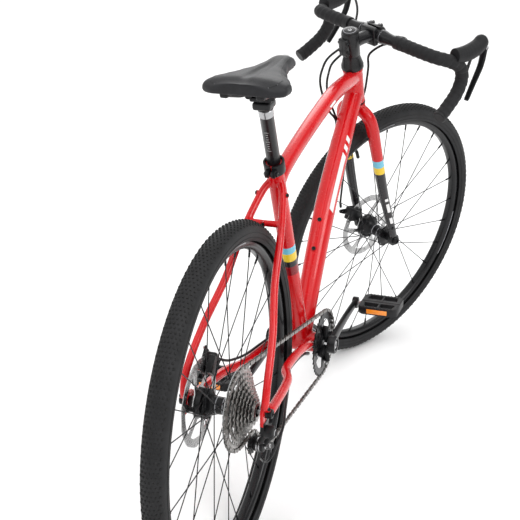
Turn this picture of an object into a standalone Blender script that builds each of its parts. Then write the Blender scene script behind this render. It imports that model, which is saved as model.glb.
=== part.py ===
"""Gravel road bicycle, modelled piece by piece.

Metres, +X forward, +Y to the rider's left, +Z up. The origin is on the ground, midway between the axles.
The front assembly is turned to the rider's right about the steering axis, which is how the part rests.
"""
import math

import bmesh
import bpy
from mathutils import Matrix, Vector

# ---- driving dimensions ----
WHEELBASE = 0.990
WHEEL_RADIUS = 0.325
TYRE_RADIUS = 0.0225          # half the tyre's width
RIM_OUTER = 0.2885
RIM_INNER = 0.2740
RIM_HALF = 0.0125
SPOKES = 28
ROTOR_RADIUS = 0.080
ROTOR_HALF = 0.0009

HEAD_ANGLE = math.radians(70.0)
FORK_RAKE = 0.0385
STEER_TURN = math.radians(29.3)   # to the rider's right
HEAD_LOW = 0.3913             # heights along the steering axis, from the foot of the rake
HEAD_HIGH = 0.4779
HEAD_TUBE_RADIUS = 0.0216
COVER_HIGH = 0.5101
STEM_HIGH = 0.5625
BAR_REACH = 0.0690            # bar centre, ahead of the steering axis
BAR_HEIGHT = 0.5300

BB_X = -0.0538
BB_Z = 0.2606
BB_SHELL_RADIUS = 0.0207
BB_SHELL_HALF = 0.0327
SEAT_ANGLE = math.radians(66.7)
SEAT_TUBE_LENGTH = 0.4742
SEAT_TUBE_RADIUS = 0.0159
POST_RADIUS = 0.0127
POST_TOP = 0.5932             # along the seat tube's line, from the bottom bracket

CRANK_LENGTH = 0.165
CRANK_ANGLE = math.radians(10.5)  # the right arm, above level and pointing forward
CHAIN_Y = -0.0442
RING_RADIUS = 0.0643          # to the roots of the teeth, as are the next radii
CHAIN_HALF = 0.0037
PEDAL_Y = 0.1221

REAR_OLD = 0.0675             # half the spacing of the rear dropouts
FRONT_OLD = 0.0500
CASSETTE_STEPS = 8
CASSETTE_BIG = 0.0685
CASSETTE_SMALL = 0.0195
CASSETTE_IN = -0.0250
CASSETTE_OUT = -0.0577
CHAIN_REAR_Y = -0.0272        # the chain is on the largest sprocket
GUIDE_PULLEY = (-0.4430, 0.2310)
TENSION_PULLEY = (-0.3640, 0.2090)
PULLEY_RADIUS = 0.0180

GAP = 0.0003                  # between pieces that touch
TINY = 0.00005                # merge distance

REAR_AXLE = Vector((-WHEELBASE / 2, 0.0, WHEEL_RADIUS))
BOTTOM_BRACKET = Vector((BB_X, 0.0, BB_Z))
HEAD_FORWARD = Vector((math.sin(HEAD_ANGLE), 0.0, math.cos(HEAD_ANGLE)))
HEAD_UP = Vector((-math.cos(HEAD_ANGLE), 0.0, math.sin(HEAD_ANGLE)))
HEAD_FOOT = Vector((WHEELBASE / 2, 0.0, WHEEL_RADIUS)) - FORK_RAKE * HEAD_FORWARD
SEAT_UP = Vector((-math.cos(SEAT_ANGLE), 0.0, math.sin(SEAT_ANGLE)))


# ---- scene, materials ----
for old in list(bpy.data.objects):
    bpy.data.objects.remove(old, do_unlink=True)

parts = bpy.data.collections.new("gravel_road_bicycle")
cutters = bpy.data.collections.new("cutters")
for group in (parts, cutters):
    bpy.context.scene.collection.children.link(group)


def finish(name, color, roughness, metallic=0.0):
    material = bpy.data.materials.new(name)
    material.use_nodes = True
    shader = material.node_tree.nodes["Principled BSDF"]
    shader.inputs["Base Color"].default_value = (*color, 1.0)
    shader.inputs["Roughness"].default_value = roughness
    shader.inputs["Metallic"].default_value = metallic
    return material


RED = finish("red_paint", (0.62, 0.01, 0.01), 0.25)
BLACK_METAL = finish("black_anodised", (0.02, 0.02, 0.022), 0.4, 0.6)
SATIN_BLACK = finish("satin_black_paint", (0.03, 0.03, 0.032), 0.35)
RUBBER = finish("tyre_rubber", (0.035, 0.035, 0.036), 0.8)
TAPE = finish("bar_tape", (0.06, 0.06, 0.062), 0.75)
STEEL = finish("bright_steel", (0.6, 0.6, 0.6), 0.3, 1.0)
CHAIN_STEEL = finish("chain_steel", (0.25, 0.24, 0.23), 0.4, 1.0)
PLASTIC = finish("black_plastic", (0.025, 0.025, 0.027), 0.55)
SADDLE_COVER = finish("saddle_cover", (0.04, 0.04, 0.045), 0.6)
HOUSING = finish("cable_housing", (0.02, 0.02, 0.02), 0.45)


# ---- modelling tools ----
def add(obj, material, parent=None, group=parts):
    obj.data.materials.clear()
    obj.data.materials.append(material)
    group.objects.link(obj)
    obj.parent = parent
    if group is cutters:
        obj.hide_render = True
        obj.display_type = "WIRE"
    return obj


def round_off(obj, angle=40):
    obj.data.shade_smooth()
    obj.data.set_sharp_from_angle(angle=math.radians(angle))


def empty(name, location, rotation=(0, 0, 0), parent=None):
    obj = bpy.data.objects.new(name, None)
    obj.location = location
    obj.rotation_euler = rotation
    obj.parent = parent
    parts.objects.link(obj)
    return obj


def along(points, steps=5):
    """Points of a smooth curve through the given ones."""
    pts = [Vector(p) for p in points]
    ends = [2 * pts[0] - pts[1]] + pts + [2 * pts[-1] - pts[-2]]
    out = []
    for i in range(1, len(ends) - 2):
        a, b, c, d = ends[i - 1:i + 3]
        for k in range(steps):
            t = k / steps
            out.append(0.5 * (2 * b + (c - a) * t + (2 * a - 5 * b + 4 * c - d) * t * t
                              + (3 * b - a - 3 * c + d) * t ** 3))
    out.append(pts[-1])
    return out


def wire(name, points, radius, material, parent=None, resolution=4, taper=None):
    """A round rod or tube along points, with filled ends."""
    data = bpy.data.curves.new(name, "CURVE")
    data.dimensions = "3D"
    data.bevel_depth = radius
    data.bevel_resolution = resolution
    data.use_fill_caps = True
    spline = data.splines.new("POLY")
    spline.points.add(len(points) - 1)
    for i, point in enumerate(points):
        spline.points[i].co = (*point, 1.0)
        if taper:
            spline.points[i].radius = taper(i / (len(points) - 1))
    obj = bpy.data.objects.new(name, data)
    return add(obj, material, parent)


def as_mesh(obj, group=None):
    """The same shape as a mesh object, for Booleans."""
    bpy.context.view_layer.update()
    mesh = bpy.data.meshes.new_from_object(obj.evaluated_get(bpy.context.evaluated_depsgraph_get()))
    shape = bmesh.new()
    shape.from_mesh(mesh)
    bmesh.ops.remove_doubles(shape, verts=shape.verts, dist=TINY)
    shape.to_mesh(mesh)
    shape.free()
    name, material, parent = obj.name, obj.data.materials[0], obj.parent
    matrix = obj.matrix_world.copy()
    bpy.data.objects.remove(obj, do_unlink=True)
    made = bpy.data.objects.new(name, mesh)
    add(made, material, parent, group or parts)
    made.matrix_world = matrix
    round_off(made)
    return made


def turned(name, profile, material, parent=None, location=(0, 0, 0), rotation=(0, 0, 0), steps=24, ring=False,
           group=parts):
    """A turned shape: (radius, height) points run down the outer side; a ring's profile closes on itself."""
    mesh = bpy.data.meshes.new(name)
    outline = bmesh.new()
    verts = [outline.verts.new((r, 0.0, h)) for r, h in profile]
    for first, second in zip(verts, verts[1:]):
        outline.edges.new((first, second))
    if ring:
        outline.edges.new((verts[-1], verts[0]))
    outline.to_mesh(mesh)
    outline.free()
    obj = bpy.data.objects.new(name, mesh)
    add(obj, material, parent, group)
    obj.location = location
    obj.rotation_euler = rotation
    screw = obj.modifiers.new("turn", "SCREW")
    screw.axis = "Z"
    screw.steps = steps
    screw.render_steps = steps
    screw.use_merge_vertices = True
    screw.merge_threshold = TINY
    return obj


def box(name, size, material, parent=None, location=(0, 0, 0), rotation=(0, 0, 0), bevel=0.0, group=parts):
    mesh = bpy.data.meshes.new(name)
    shape = bmesh.new()
    bmesh.ops.create_cube(shape, size=1.0)
    bmesh.ops.scale(shape, vec=size, verts=shape.verts)
    shape.to_mesh(mesh)
    shape.free()
    obj = bpy.data.objects.new(name, mesh)
    add(obj, material, parent, group)
    obj.location = location
    obj.rotation_euler = rotation
    if bevel:
        edge = obj.modifiers.new("edges", "BEVEL")
        edge.width = bevel
        edge.segments = 2
    return obj


def rod(name, radius, length, material, parent=None, location=(0, 0, 0), rotation=(0, 0, 0), sides=16,
        group=parts):
    mesh = bpy.data.meshes.new(name)
    shape = bmesh.new()
    bmesh.ops.create_cone(shape, cap_ends=True, segments=sides, radius1=radius, radius2=radius, depth=length)
    shape.to_mesh(mesh)
    shape.free()
    obj = bpy.data.objects.new(name, mesh)
    add(obj, material, parent, group)
    obj.location = location
    obj.rotation_euler = rotation
    round_off(obj)
    return obj


def plate(name, outlines, thickness, material, parent=None, location=(0, 0, 0), rotation=(0, 0, 0),
          group=parts):
    """A flat piece from closed outlines; outlines inside another are holes."""
    data = bpy.data.curves.new(name, "CURVE")
    data.dimensions = "2D"
    data.fill_mode = "BOTH"
    data.extrude = thickness / 2
    for outline in outlines:
        spline = data.splines.new("POLY")
        spline.use_cyclic_u = True
        spline.points.add(len(outline) - 1)
        for i, (x, y) in enumerate(outline):
            spline.points[i].co = (x, y, 0.0, 1.0)
    obj = bpy.data.objects.new(name, data)
    add(obj, material, parent, group)
    obj.location = location
    obj.rotation_euler = rotation
    return as_mesh(obj, group)


def circle(radius, count=24, center=(0.0, 0.0), start=0.0, sweep=2 * math.pi):
    closed = abs(sweep - 2 * math.pi) < 1e-6
    steps = count if closed else count - 1
    return [(center[0] + radius * math.cos(start + sweep * k / steps),
             center[1] + radius * math.sin(start + sweep * k / steps)) for k in range(count)]


def boolean(obj, tool, operation):
    cut = obj.modifiers.new(operation.lower(), "BOOLEAN")
    cut.operation = operation
    cut.object = tool
    return obj


def unite(obj, tool):
    return boolean(obj, tool, "UNION")


def cut(obj, tool):
    return boolean(obj, tool, "DIFFERENCE")


ALONG_Y = (-math.pi / 2, 0, 0)        # turns a shape's own Z to +Y
IN_SIDE_PLANE = (math.pi / 2, 0, 0)   # turns a flat outline to the X-Z plane, x forward and y up


# ---- frame ----
head_axis = empty("head_axis", HEAD_FOOT, (0, -(math.pi / 2 - HEAD_ANGLE), 0))
seat_axis = empty("seat_axis", BOTTOM_BRACKET, (0, -(math.pi / 2 - SEAT_ANGLE), 0))


def bored(outer, inner, low, high):
    return [(inner, high), (outer, high), (outer, low), (inner, low)]


turned("head_tube", bored(HEAD_TUBE_RADIUS, 0.0168, HEAD_LOW, HEAD_HIGH), RED, head_axis, ring=True)
turned("seat_tube", bored(SEAT_TUBE_RADIUS, POST_RADIUS + GAP, 0.0, SEAT_TUBE_LENGTH), RED, seat_axis,
       ring=True)
turned("bb_shell", bored(BB_SHELL_RADIUS, 0.0149, -BB_SHELL_HALF, BB_SHELL_HALF), RED, None,
       BOTTOM_BRACKET, ALONG_Y, ring=True)

head_cutter = rod("head_cutter", HEAD_TUBE_RADIUS + GAP, 0.4, RED, head_axis, (0, 0, 0.45), group=cutters,
                  sides=24)
seat_cutter = rod("seat_cutter", SEAT_TUBE_RADIUS + GAP, 0.7, RED, seat_axis, (0, 0, 0.33), group=cutters,
                  sides=24)
bb_cutter = rod("bb_cutter", BB_SHELL_RADIUS + GAP, 0.12, RED, None, BOTTOM_BRACKET, ALONG_Y, group=cutters,
                sides=24)
cut(bpy.data.objects["seat_tube"], bb_cutter)


def in_plane(points, y=0.0):
    return [(x, y, z) for x, z in points]


TOP_TUBE = [(-0.2231, 0.6461), (-0.1711, 0.6702), (-0.0442, 0.7009), (0.1000, 0.7279), (0.1856, 0.7365),
            (0.3000, 0.7370)]
DOWN_TUBE = [(0.3120, 0.6958), (0.2490, 0.6423), (0.1135, 0.5144), (0.0115, 0.3827), (-0.0538, 0.2788)]
top_tube = as_mesh(wire("top_tube", along(in_plane(TOP_TUBE), 3), 0.0163, RED,
                        taper=lambda s: 0.92 + 0.16 * s))
down_tube = as_mesh(wire("down_tube", along(in_plane(DOWN_TUBE), 3), 0.0216, RED,
                         taper=lambda s: 0.95 + 0.1 * math.sin(math.pi * s)))
crown_room = rod("crown_room", 0.0450, 0.0500, RED, head_axis, (0, 0, HEAD_LOW - 0.0250), sides=24,
                 group=cutters)
cover_room = rod("cover_room", 0.0251, 0.0500, RED, head_axis, (0, 0, HEAD_HIGH + 0.0250), sides=24,
                 group=cutters)
for tube in (top_tube, down_tube):
    cut(tube, head_cutter)
    cut(tube, crown_room)
    cut(tube, cover_room)
cut(top_tube, seat_cutter)
cut(down_tube, bb_cutter)
cut(down_tube, seat_cutter)
top_tube_cutter = as_mesh(wire("top_tube_cutter", along(in_plane(TOP_TUBE), 3), 0.0163 + 2 * GAP, RED,
                               taper=lambda s: 0.92 + 0.16 * s), cutters)
cut(down_tube, top_tube_cutter)

STAY = [(-0.5040, 0.0752, 0.3470), (-0.4873, 0.0736, 0.3846), (-0.4350, 0.0644, 0.4423),
        (-0.3705, 0.0462, 0.5096), (-0.3085, 0.0361, 0.5769), (-0.2503, 0.0207, 0.6346),
        (-0.2269, 0.0077, 0.6557)]
CHAINSTAY = [(-0.0538, 0.0144, 0.2606), (-0.0962, 0.0300, 0.2750), (-0.1500, 0.0345, 0.2920),
             (-0.2095, 0.0360, 0.3020), (-0.2900, 0.0420, 0.3090), (-0.3450, 0.0620, 0.3120),
             (-0.4630, 0.0738, 0.3190)]
center_cutter = box("center_cutter", (2.0, GAP, 2.0), RED, group=cutters)
for side, sign in (("left", 1), ("right", -1)):
    stay = as_mesh(wire("seatstay_" + side, along([(x, sign * y, z) for x, y, z in STAY], 3), 0.0072, RED))
    cut(stay, seat_cutter)
    cut(stay, center_cutter)
    cut(stay, top_tube_cutter)
    chainstay = as_mesh(wire("chainstay_" + side, along([(x, sign * y, z) for x, y, z in CHAINSTAY], 3),
                             0.0087, RED))
    cut(chainstay, bb_cutter)
    cut(chainstay, seat_cutter)
    cut(chainstay, center_cutter)
    tab = [(-0.0173, -0.0192), (0.0115, -0.0202), (0.0270, -0.0115), (0.0290, 0.0000), (0.0154, 0.0154),
           (0.0000, 0.0192), (-0.0096, 0.0192), (-0.0192, 0.0058)]
    if side == "right":
        tab = tab[:1] + [(-0.0135, -0.0385), (0.0058, -0.0385)] + tab[1:]
    plate("dropout_" + side, [tab, circle(0.0060, 12)], 0.0058, RED, None,
          REAR_AXLE + Vector((0, sign * (REAR_OLD + 0.0034), 0)), IN_SIDE_PLANE)

bridge_path = [(-0.2923, -0.0308 + 0.0062 * k, 0.5932) for k in range(11)]
bridge = as_mesh(wire("stay_bridge", bridge_path, 0.0062, RED))
for side, sign in (("left", 1), ("right", -1)):
    sleeve = wire("sleeve_" + side, along([(x, sign * y, z) for x, y, z in STAY], 3), 0.0072 + 2 * GAP, RED)
    cut(bridge, as_mesh(sleeve, cutters))

collar = turned("seat_collar", bored(0.0197, SEAT_TUBE_RADIUS + GAP, 0.4500, 0.4735), BLACK_METAL, seat_axis,
                ring=True)
ear = box("collar_ear", (0.0135, 0.0250, 0.0115), BLACK_METAL, seat_axis, (-0.0236, 0, 0.4617), group=cutters)
slot = box("collar_slot", (0.0192, 0.0019, 0.0288), BLACK_METAL, seat_axis, (-0.0279, 0, 0.4617), group=cutters)
unite(collar, ear)
cut(collar, slot)
collar_bore = rod("collar_bore", SEAT_TUBE_RADIUS + GAP, 0.06, BLACK_METAL, seat_axis, (0, 0, 0.4617), sides=24,
                  group=cutters)
cut(collar, collar_bore)

# ---- seatpost and saddle ----
post_end = 0.2884
seatpost = turned("seatpost", [(0.0, POST_TOP), (POST_RADIUS, POST_TOP), (POST_RADIUS, post_end),
                               (0.0, post_end)], SATIN_BLACK, seat_axis)
SADDLE_CLAMP = BOTTOM_BRACKET + SEAT_UP * (POST_TOP + 0.0154)
post_head = box("post_head", (0.0442, 0.0346, 0.0288), SATIN_BLACK, None, SADDLE_CLAMP - Vector((0, 0, 0.0038)),
                (0, math.radians(-4), 0), group=cutters)
unite(seatpost, post_head)
saddle_clamp = box("saddle_clamp", (0.0423, 0.0500, 0.0115), BLACK_METAL, None,
                   SADDLE_CLAMP + Vector((0.0, 0, 0.0260)), (0, 0, 0), 0.0019)
RAIL = [(0.0890, 0.0096, 0.0270), (0.0601, 0.0192, 0.0215), (0.0300, 0.0212, 0.0150),
        (-0.0400, 0.0212, 0.0150), (-0.0800, 0.0288, 0.0220), (-0.1000, 0.0317, 0.0270)]
rail_path = along([SADDLE_CLAMP + Vector(p) for p in RAIL], 3)
nose_turn = [SADDLE_CLAMP + Vector((0.0928, y, 0.0280)) for y in (0.0038, -0.0038)]
rails = rail_path[::-1] + nose_turn + [Vector((p.x, -p.y, p.z)) for p in rail_path]
wire("saddle_rails", rails, 0.0034, BLACK_METAL, resolution=2)

SADDLE_WIDTHS = [(-0.1173, 0.0300), (-0.1140, 0.0600), (-0.1000, 0.0760), (-0.0770, 0.0770),
                 (-0.0480, 0.0650), (-0.0144, 0.0471), (0.0288, 0.0298), (0.0769, 0.0212), (0.1250, 0.0183), (0.1404, 0.0125)]
SADDLE_X = -0.2960
SADDLE_Z = 0.8655
saddle_outline = SADDLE_WIDTHS + [(x, -y) for x, y in reversed(SADDLE_WIDTHS)]
saddle = plate("saddle", [saddle_outline], 0.0260, SADDLE_COVER, None, (SADDLE_X, 0, SADDLE_Z))
edge = saddle.modifiers.new("edges", "BEVEL")
edge.width = 0.0058
edge.segments = 2
edge.limit_method = "ANGLE"
edge.angle_limit = math.radians(60)

# ---- front assembly, in the steering frame: x forward, y left, z up the steering axis ----
steering = empty("steering_axis", HEAD_FOOT)
steering.rotation_euler = (Matrix.Rotation(-(math.pi / 2 - HEAD_ANGLE), 3, "Y")
                           @ Matrix.Rotation(-STEER_TURN, 3, "Z")).to_euler()
STEERER_RADIUS = 0.0143
LEG_TOP = 0.3288
LEG_Y = 0.0560
CROWN = [(0.0, 0.0, 0.3750), (0.0, 0.0250, 0.3711), (0.0010, 0.0413, 0.3558), (0.0029, 0.0471, LEG_TOP),
         (0.0045, 0.0476, LEG_TOP - 0.0200)]
LEG = [(0.0013, 0.0466, LEG_TOP + 0.0200), (0.0029, 0.0471, LEG_TOP), (0.0096, 0.0490, 0.2500),
       (0.0192, 0.0519, 0.1442), (0.0327, LEG_Y, 0.0481), (0.0385, LEG_Y, 0.0115)]

steerer = turned("fork_crown", [(0.0, 0.5654), (STEERER_RADIUS, 0.5654), (STEERER_RADIUS, 0.3904),
                                (0.0216, 0.3894), (0.0226, 0.3808), (0.0192, 0.3634), (0.0, 0.3615)], RED,
                 steering)
half = [Vector(p) for p in along(CROWN, 3)]
arch = [Vector((p.x, -p.y, p.z)) for p in half[::-1]] + half[1:]
crown_arch = wire("crown_arch", arch, 0.0144, RED, steering)
unite(steerer, as_mesh(crown_arch, cutters))
cut(steerer, box("below_crown", (0.2, 0.2, 0.1), RED, steering, (0, 0, LEG_TOP - 0.05 + GAP), group=cutters))
above_legs = box("above_legs", (0.2, 0.2, 0.1), RED, steering, (0, 0, LEG_TOP + 0.05), group=cutters)
for side, sign in (("left", 1), ("right", -1)):
    path = along([(x, sign * y, z) for x, y, z in LEG], 3)
    leg = as_mesh(wire("fork_leg_" + side, path, 0.0144, RED, steering, taper=lambda s: 1.0 - 0.35 * s))
    end = rod("fork_end_" + side, 0.0144, 0.0106, SATIN_BLACK, steering, (FORK_RAKE, sign * LEG_Y, 0), ALONG_Y,
              group=cutters)
    bore = rod("fork_bore_" + side, 0.0061, 0.05, SATIN_BLACK, steering, (FORK_RAKE, sign * LEG_Y, 0), ALONG_Y,
               group=cutters)
    unite(leg, end)
    cut(leg, bore)
    cut(leg, above_legs)

turned("headset_cover", [(STEERER_RADIUS + GAP, COVER_HIGH), (0.0183, COVER_HIGH), (0.0245, 0.4865),
                         (0.0245, HEAD_HIGH + GAP), (STEERER_RADIUS + GAP, HEAD_HIGH + GAP)], SATIN_BLACK,
       steering, ring=True)
stem = turned("stem", bored(0.0190, STEERER_RADIUS + GAP, COVER_HIGH + GAP, STEM_HIGH), SATIN_BLACK, steering,
              ring=True)
stem_arm = as_mesh(wire("stem_arm", [(0.0159, 0, 0.5365), (BAR_REACH - 0.0159, 0, BAR_HEIGHT + 0.0010)], 0.0144,
                        SATIN_BLACK, steering), cutters)
stem_seat = box("stem_seat", (0.0115, 0.0385, 0.0413), SATIN_BLACK, steering,
                (BAR_REACH - 0.0106, 0, BAR_HEIGHT), group=cutters)
stem_back = box("stem_back", (0.0096, 0.0231, 0.0385), SATIN_BLACK, steering, (-0.0207, 0, 0.5365),
                group=cutters)
BAR_CLAMP = 0.0153
bar_bore = rod("bar_bore", BAR_CLAMP + GAP, 0.10, SATIN_BLACK, steering, (BAR_REACH, 0, BAR_HEIGHT), ALONG_Y,
               24, cutters)
steerer_bore = rod("steerer_bore", STEERER_RADIUS + GAP, 0.20, SATIN_BLACK, steering, (0, 0, 0.5384), sides=24,
                   group=cutters)
for tool in (stem_arm, stem_seat, stem_back):
    unite(stem, tool)
cut(stem, steerer_bore)
cut(stem, bar_bore)
faceplate = box("stem_faceplate", (0.0163, 0.0385, 0.0413), SATIN_BLACK, steering,
                (BAR_REACH + 0.0115, 0, BAR_HEIGHT), bevel=0.0029)
cut(faceplate, bar_bore)
turned("top_cap", [(0.0, STEM_HIGH + 0.0072), (0.0115, STEM_HIGH + 0.0067), (0.0178, STEM_HIGH + 0.0034),
                   (0.0178, STEM_HIGH + 0.0032), (0.0, STEM_HIGH + 0.0032)], SATIN_BLACK, steering)

LEVEL_X = Vector((math.sin(HEAD_ANGLE), 0, -math.cos(HEAD_ANGLE)))   # level and forward, in the steering frame
LEVEL_Z = Vector((math.cos(HEAD_ANGLE), 0, math.sin(HEAD_ANGLE)))
BAR_CENTRE = Vector((BAR_REACH, 0, BAR_HEIGHT))


def bar_point(forward, side, up):
    return BAR_CENTRE + LEVEL_X * forward + Vector((0, side, 0)) + LEVEL_Z * up


BAR_TOPS = [(0.0, 0.0, 0.0), (0.0, 0.0288, 0.0), (0.0, 0.0721, 0.0)]
BAR_DROPS = [(0.0, 0.0724, 0.0), (0.0, 0.1380, 0.0000), (0.0096, 0.1710, -0.0019), (0.0385, 0.1900, -0.0077),
             (0.0660, 0.1965, -0.0200), (0.0770, 0.1995, -0.0440), (0.0640, 0.2040, -0.0760),
             (0.0310, 0.2095, -0.1060), (0.0110, 0.2125, -0.1200)]
TOPS_END = BAR_TOPS[-1][1]
tops = along([bar_point(*p) for p in BAR_TOPS], 4)
mirror_tops = [Vector((p.x, -p.y, p.z)) for p in tops[::-1]]
wire("handlebar", mirror_tops + tops[1:], BAR_CLAMP, SATIN_BLACK, steering,
     taper=lambda s: 1.0 if abs(s - 0.5) < 0.26 else 0.75)
TAPE_RADIUS = 0.0146
HOOD = [(0.0423, 0.1944, 0.0058), (0.0750, 0.1983, 0.0096), (0.1077, 0.1992, 0.0212), (0.1269, 0.1992, 0.0423)]
LEVER = [(0.1317, 0.2011, 0.0192), (0.1298, 0.2031, -0.0192), (0.1135, 0.2060, -0.0577),
         (0.0962, 0.2098, -0.0942)]
for side, sign in (("left", 1), ("right", -1)):
    path = [bar_point(x, sign * y, z) for x, y, z in BAR_DROPS]
    tape = as_mesh(wire("bar_tape_" + side, along(path, 4), TAPE_RADIUS, TAPE, steering, 3))
    path = [bar_point(x, sign * y, z) for x, y, z in HOOD]
    hood = as_mesh(wire("hood_" + side, along(path, 3), 0.0163, PLASTIC, steering, 3,
                        taper=lambda s: 1.0 + 0.12 * math.sin(math.pi * s)))
    path = [bar_point(x, sign * y, z) for x, y, z in BAR_DROPS]
    cut(hood, as_mesh(wire("tape_cutter_" + side, along(path, 4), TAPE_RADIUS + GAP, TAPE, steering, 3), cutters))
    pivot = empty("lever_pivot_" + side, bar_point(LEVER[0][0], sign * LEVER[0][1], LEVER[0][2]), parent=steering)
    start = bar_point(LEVER[0][0], sign * LEVER[0][1], LEVER[0][2])
    path = [bar_point(x, sign * y, z) - start for x, y, z in LEVER]
    lever = as_mesh(wire("brake_lever_" + side, along(path, 3), 0.0060, BLACK_METAL, pivot, 2,
                         taper=lambda s: 1.0 - 0.25 * s))
    hood_room = as_mesh(wire("hood_cutter_" + side,
                             along([bar_point(x, sign * y, z) for x, y, z in HOOD], 3), 0.0183 + 2 * GAP, PLASTIC,
                             steering, 3), cutters)
    cut(lever, hood_room)
PADDLE = [(0.1115, 0.1885, -0.0040), (0.1038, 0.1895, -0.0310), (0.0942, 0.1923, -0.0558)]
paddle_start = bar_point(PADDLE[0][0], -PADDLE[0][1], PADDLE[0][2])
paddle_pivot = empty("paddle_pivot", paddle_start, parent=steering)
paddle_path = [bar_point(x, -y, z) - paddle_start for x, y, z in PADDLE]
paddle = as_mesh(wire("shift_paddle", along(paddle_path, 3), 0.0040, PLASTIC, paddle_pivot, 2))
cut(paddle, bpy.data.objects["hood_cutter_right"])

# ---- wheels ----
front_hub = empty("front_axle_line", (FORK_RAKE, 0, 0), ALONG_Y, steering)
rear_hub = empty("rear_axle_line", REAR_AXLE, ALONG_Y)


def tyre_section():
    """A tyre open towards the hub: (radius, offset), outside then inside."""
    center = WHEEL_RADIUS - TYRE_RADIUS
    thickness = 0.0029
    foot = math.radians(122)
    outer = [(center + TYRE_RADIUS * math.cos(a), -TYRE_RADIUS * math.sin(a))
             for a in (foot * (k / 4 - 1) for k in range(9))]
    inner = [(center + (TYRE_RADIUS - thickness) * math.cos(a), -(TYRE_RADIUS - thickness) * math.sin(a))
             for a in (foot * (1 - k / 2) for k in range(5))]
    return outer + inner


def rim_section():
    side = RIM_HALF
    wall = 0.0021
    return [(RIM_INNER, 0.0067), (RIM_INNER + 0.0058, side), (RIM_OUTER, side), (RIM_OUTER, side - wall),
            (RIM_OUTER - 0.0058, side - wall), (RIM_OUTER - 0.0058, wall - side), (RIM_OUTER, wall - side),
            (RIM_OUTER, -side), (RIM_INNER + 0.0058, -side), (RIM_INNER, -0.0067)]


def wheel(name, hub_axis, flanges, shell):
    turned(name + "_tyre", tyre_section(), RUBBER, hub_axis, steps=56, ring=True)
    turned(name + "_rim", rim_section(), SATIN_BLACK, hub_axis, steps=56, ring=True)
    hub = turned(name + "_hub", shell, BLACK_METAL, hub_axis, steps=20, ring=True)
    spokes = bmesh.new()
    for side, (height, radius) in enumerate(flanges):
        for k in range(SPOKES // 2):
            rim_angle = 2 * math.pi * (k + 0.5 * side) / (SPOKES // 2)
            lean = math.radians(62) * (1 if k % 2 else -1)
            offset = 0.0021 if k % 2 else -0.0021
            start = Vector((radius * math.cos(rim_angle + lean), radius * math.sin(rim_angle + lean),
                            height + offset))
            stop = Vector(((RIM_INNER - GAP) * math.cos(rim_angle), (RIM_INNER - GAP) * math.sin(rim_angle),
                           0.0019 if height > 0 else -0.0019))
            direction = stop - start
            matrix = (Matrix.Translation((start + stop) / 2)
                      @ direction.to_track_quat("Z", "Y").to_matrix().to_4x4())
            bmesh.ops.create_cone(spokes, cap_ends=True, segments=6, radius1=0.0010, radius2=0.0010,
                                  depth=direction.length, matrix=matrix)
    mesh = bpy.data.meshes.new(name + "_spokes")
    spokes.to_mesh(mesh)
    spokes.free()
    spoke_set = add(bpy.data.objects.new(name + "_spokes", mesh), STEEL, hub_axis, cutters)
    unite(hub, spoke_set)


def hub_shell(left, right, flange_left, flange_right, body, bore):
    """(radius, offset) of a hub: left end first, flanges as (offset, radius)."""
    t = 0.0043
    (yl, rl), (yr, rr) = flange_left, flange_right
    return [(bore, left), (0.0096, left), (0.0096, yl + t), (rl, yl + t), (rl, yl - t), (body, yl - 0.0115),
            (body, yr + 0.0115), (rr, yr + t), (rr, yr - t), (0.0096, yr - t), (0.0096, right), (bore, right)]


AXLE_RADIUS = 0.0053
HUB_BORE = AXLE_RADIUS + 0.0005
wheel("front_wheel", front_hub, [(0.0221, 0.0240), (-0.0308, 0.0240)],
      hub_shell(FRONT_OLD - GAP, -FRONT_OLD + GAP, (0.0221, 0.0274), (-0.0308, 0.0274), 0.0144, HUB_BORE))
wheel("rear_wheel", rear_hub, [(0.0317, 0.0240), (-0.0154, 0.0240)],
      hub_shell(REAR_OLD - 0.0010, -0.0212, (0.0317, 0.0274), (-0.0154, 0.0274), 0.0163, HUB_BORE))


def axle(name, hub_axis, half, knob):
    """A quick-release axle with its nut and head outside the ends of the frame or fork."""
    turned(name, [(0.0, half + knob), (0.0082, half + knob), (0.0091, half + GAP), (AXLE_RADIUS, half + GAP),
                  (AXLE_RADIUS, -half - GAP), (0.0091, -half - GAP), (0.0082, -half - knob),
                  (0.0, -half - knob)], BLACK_METAL, hub_axis, steps=16)


axle("front_axle", front_hub, LEG_Y + 0.0053, 0.0077)
axle("rear_axle", rear_hub, REAR_OLD + 0.0066, 0.0115)


def rotor(name, hub_axis, height, center):
    windows = []
    inner, outer = 0.0317, 0.0635
    for k in range(6):
        start = 2 * math.pi * k / 6 + 0.14
        sweep = 2 * math.pi / 6 - 0.28
        windows.append(circle(outer, 6, start=start, sweep=sweep)
                       + circle(inner, 4, start=start, sweep=sweep)[::-1])
    plate(name, [circle(ROTOR_RADIUS, 40), circle(center, 16)] + windows, 2 * ROTOR_HALF, STEEL, hub_axis,
          (0, 0, height))


FRONT_ROTOR_Y = 0.0356
REAR_ROTOR_Y = 0.0500
rotor("front_rotor", front_hub, FRONT_ROTOR_Y, 0.0096 + GAP)
rotor("rear_rotor", rear_hub, REAR_ROTOR_Y, 0.0096 + GAP)

# ---- drivetrain ----
cassette_profile = []
step = (CASSETTE_IN - CASSETTE_OUT) / CASSETTE_STEPS
for k in range(CASSETTE_STEPS):
    share = k / (CASSETTE_STEPS - 1)
    radius = CASSETTE_BIG + (CASSETTE_SMALL - CASSETTE_BIG) * share ** 0.85
    top = CASSETTE_IN - step * k
    cassette_profile += [(radius, top), (radius, top - step)]
cassette_profile = [(0.0154, CASSETTE_IN)] + cassette_profile + [(0.0154, CASSETTE_OUT)]
cassette = turned("cassette", cassette_profile, STEEL, rear_hub, steps=32, ring=True)

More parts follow.
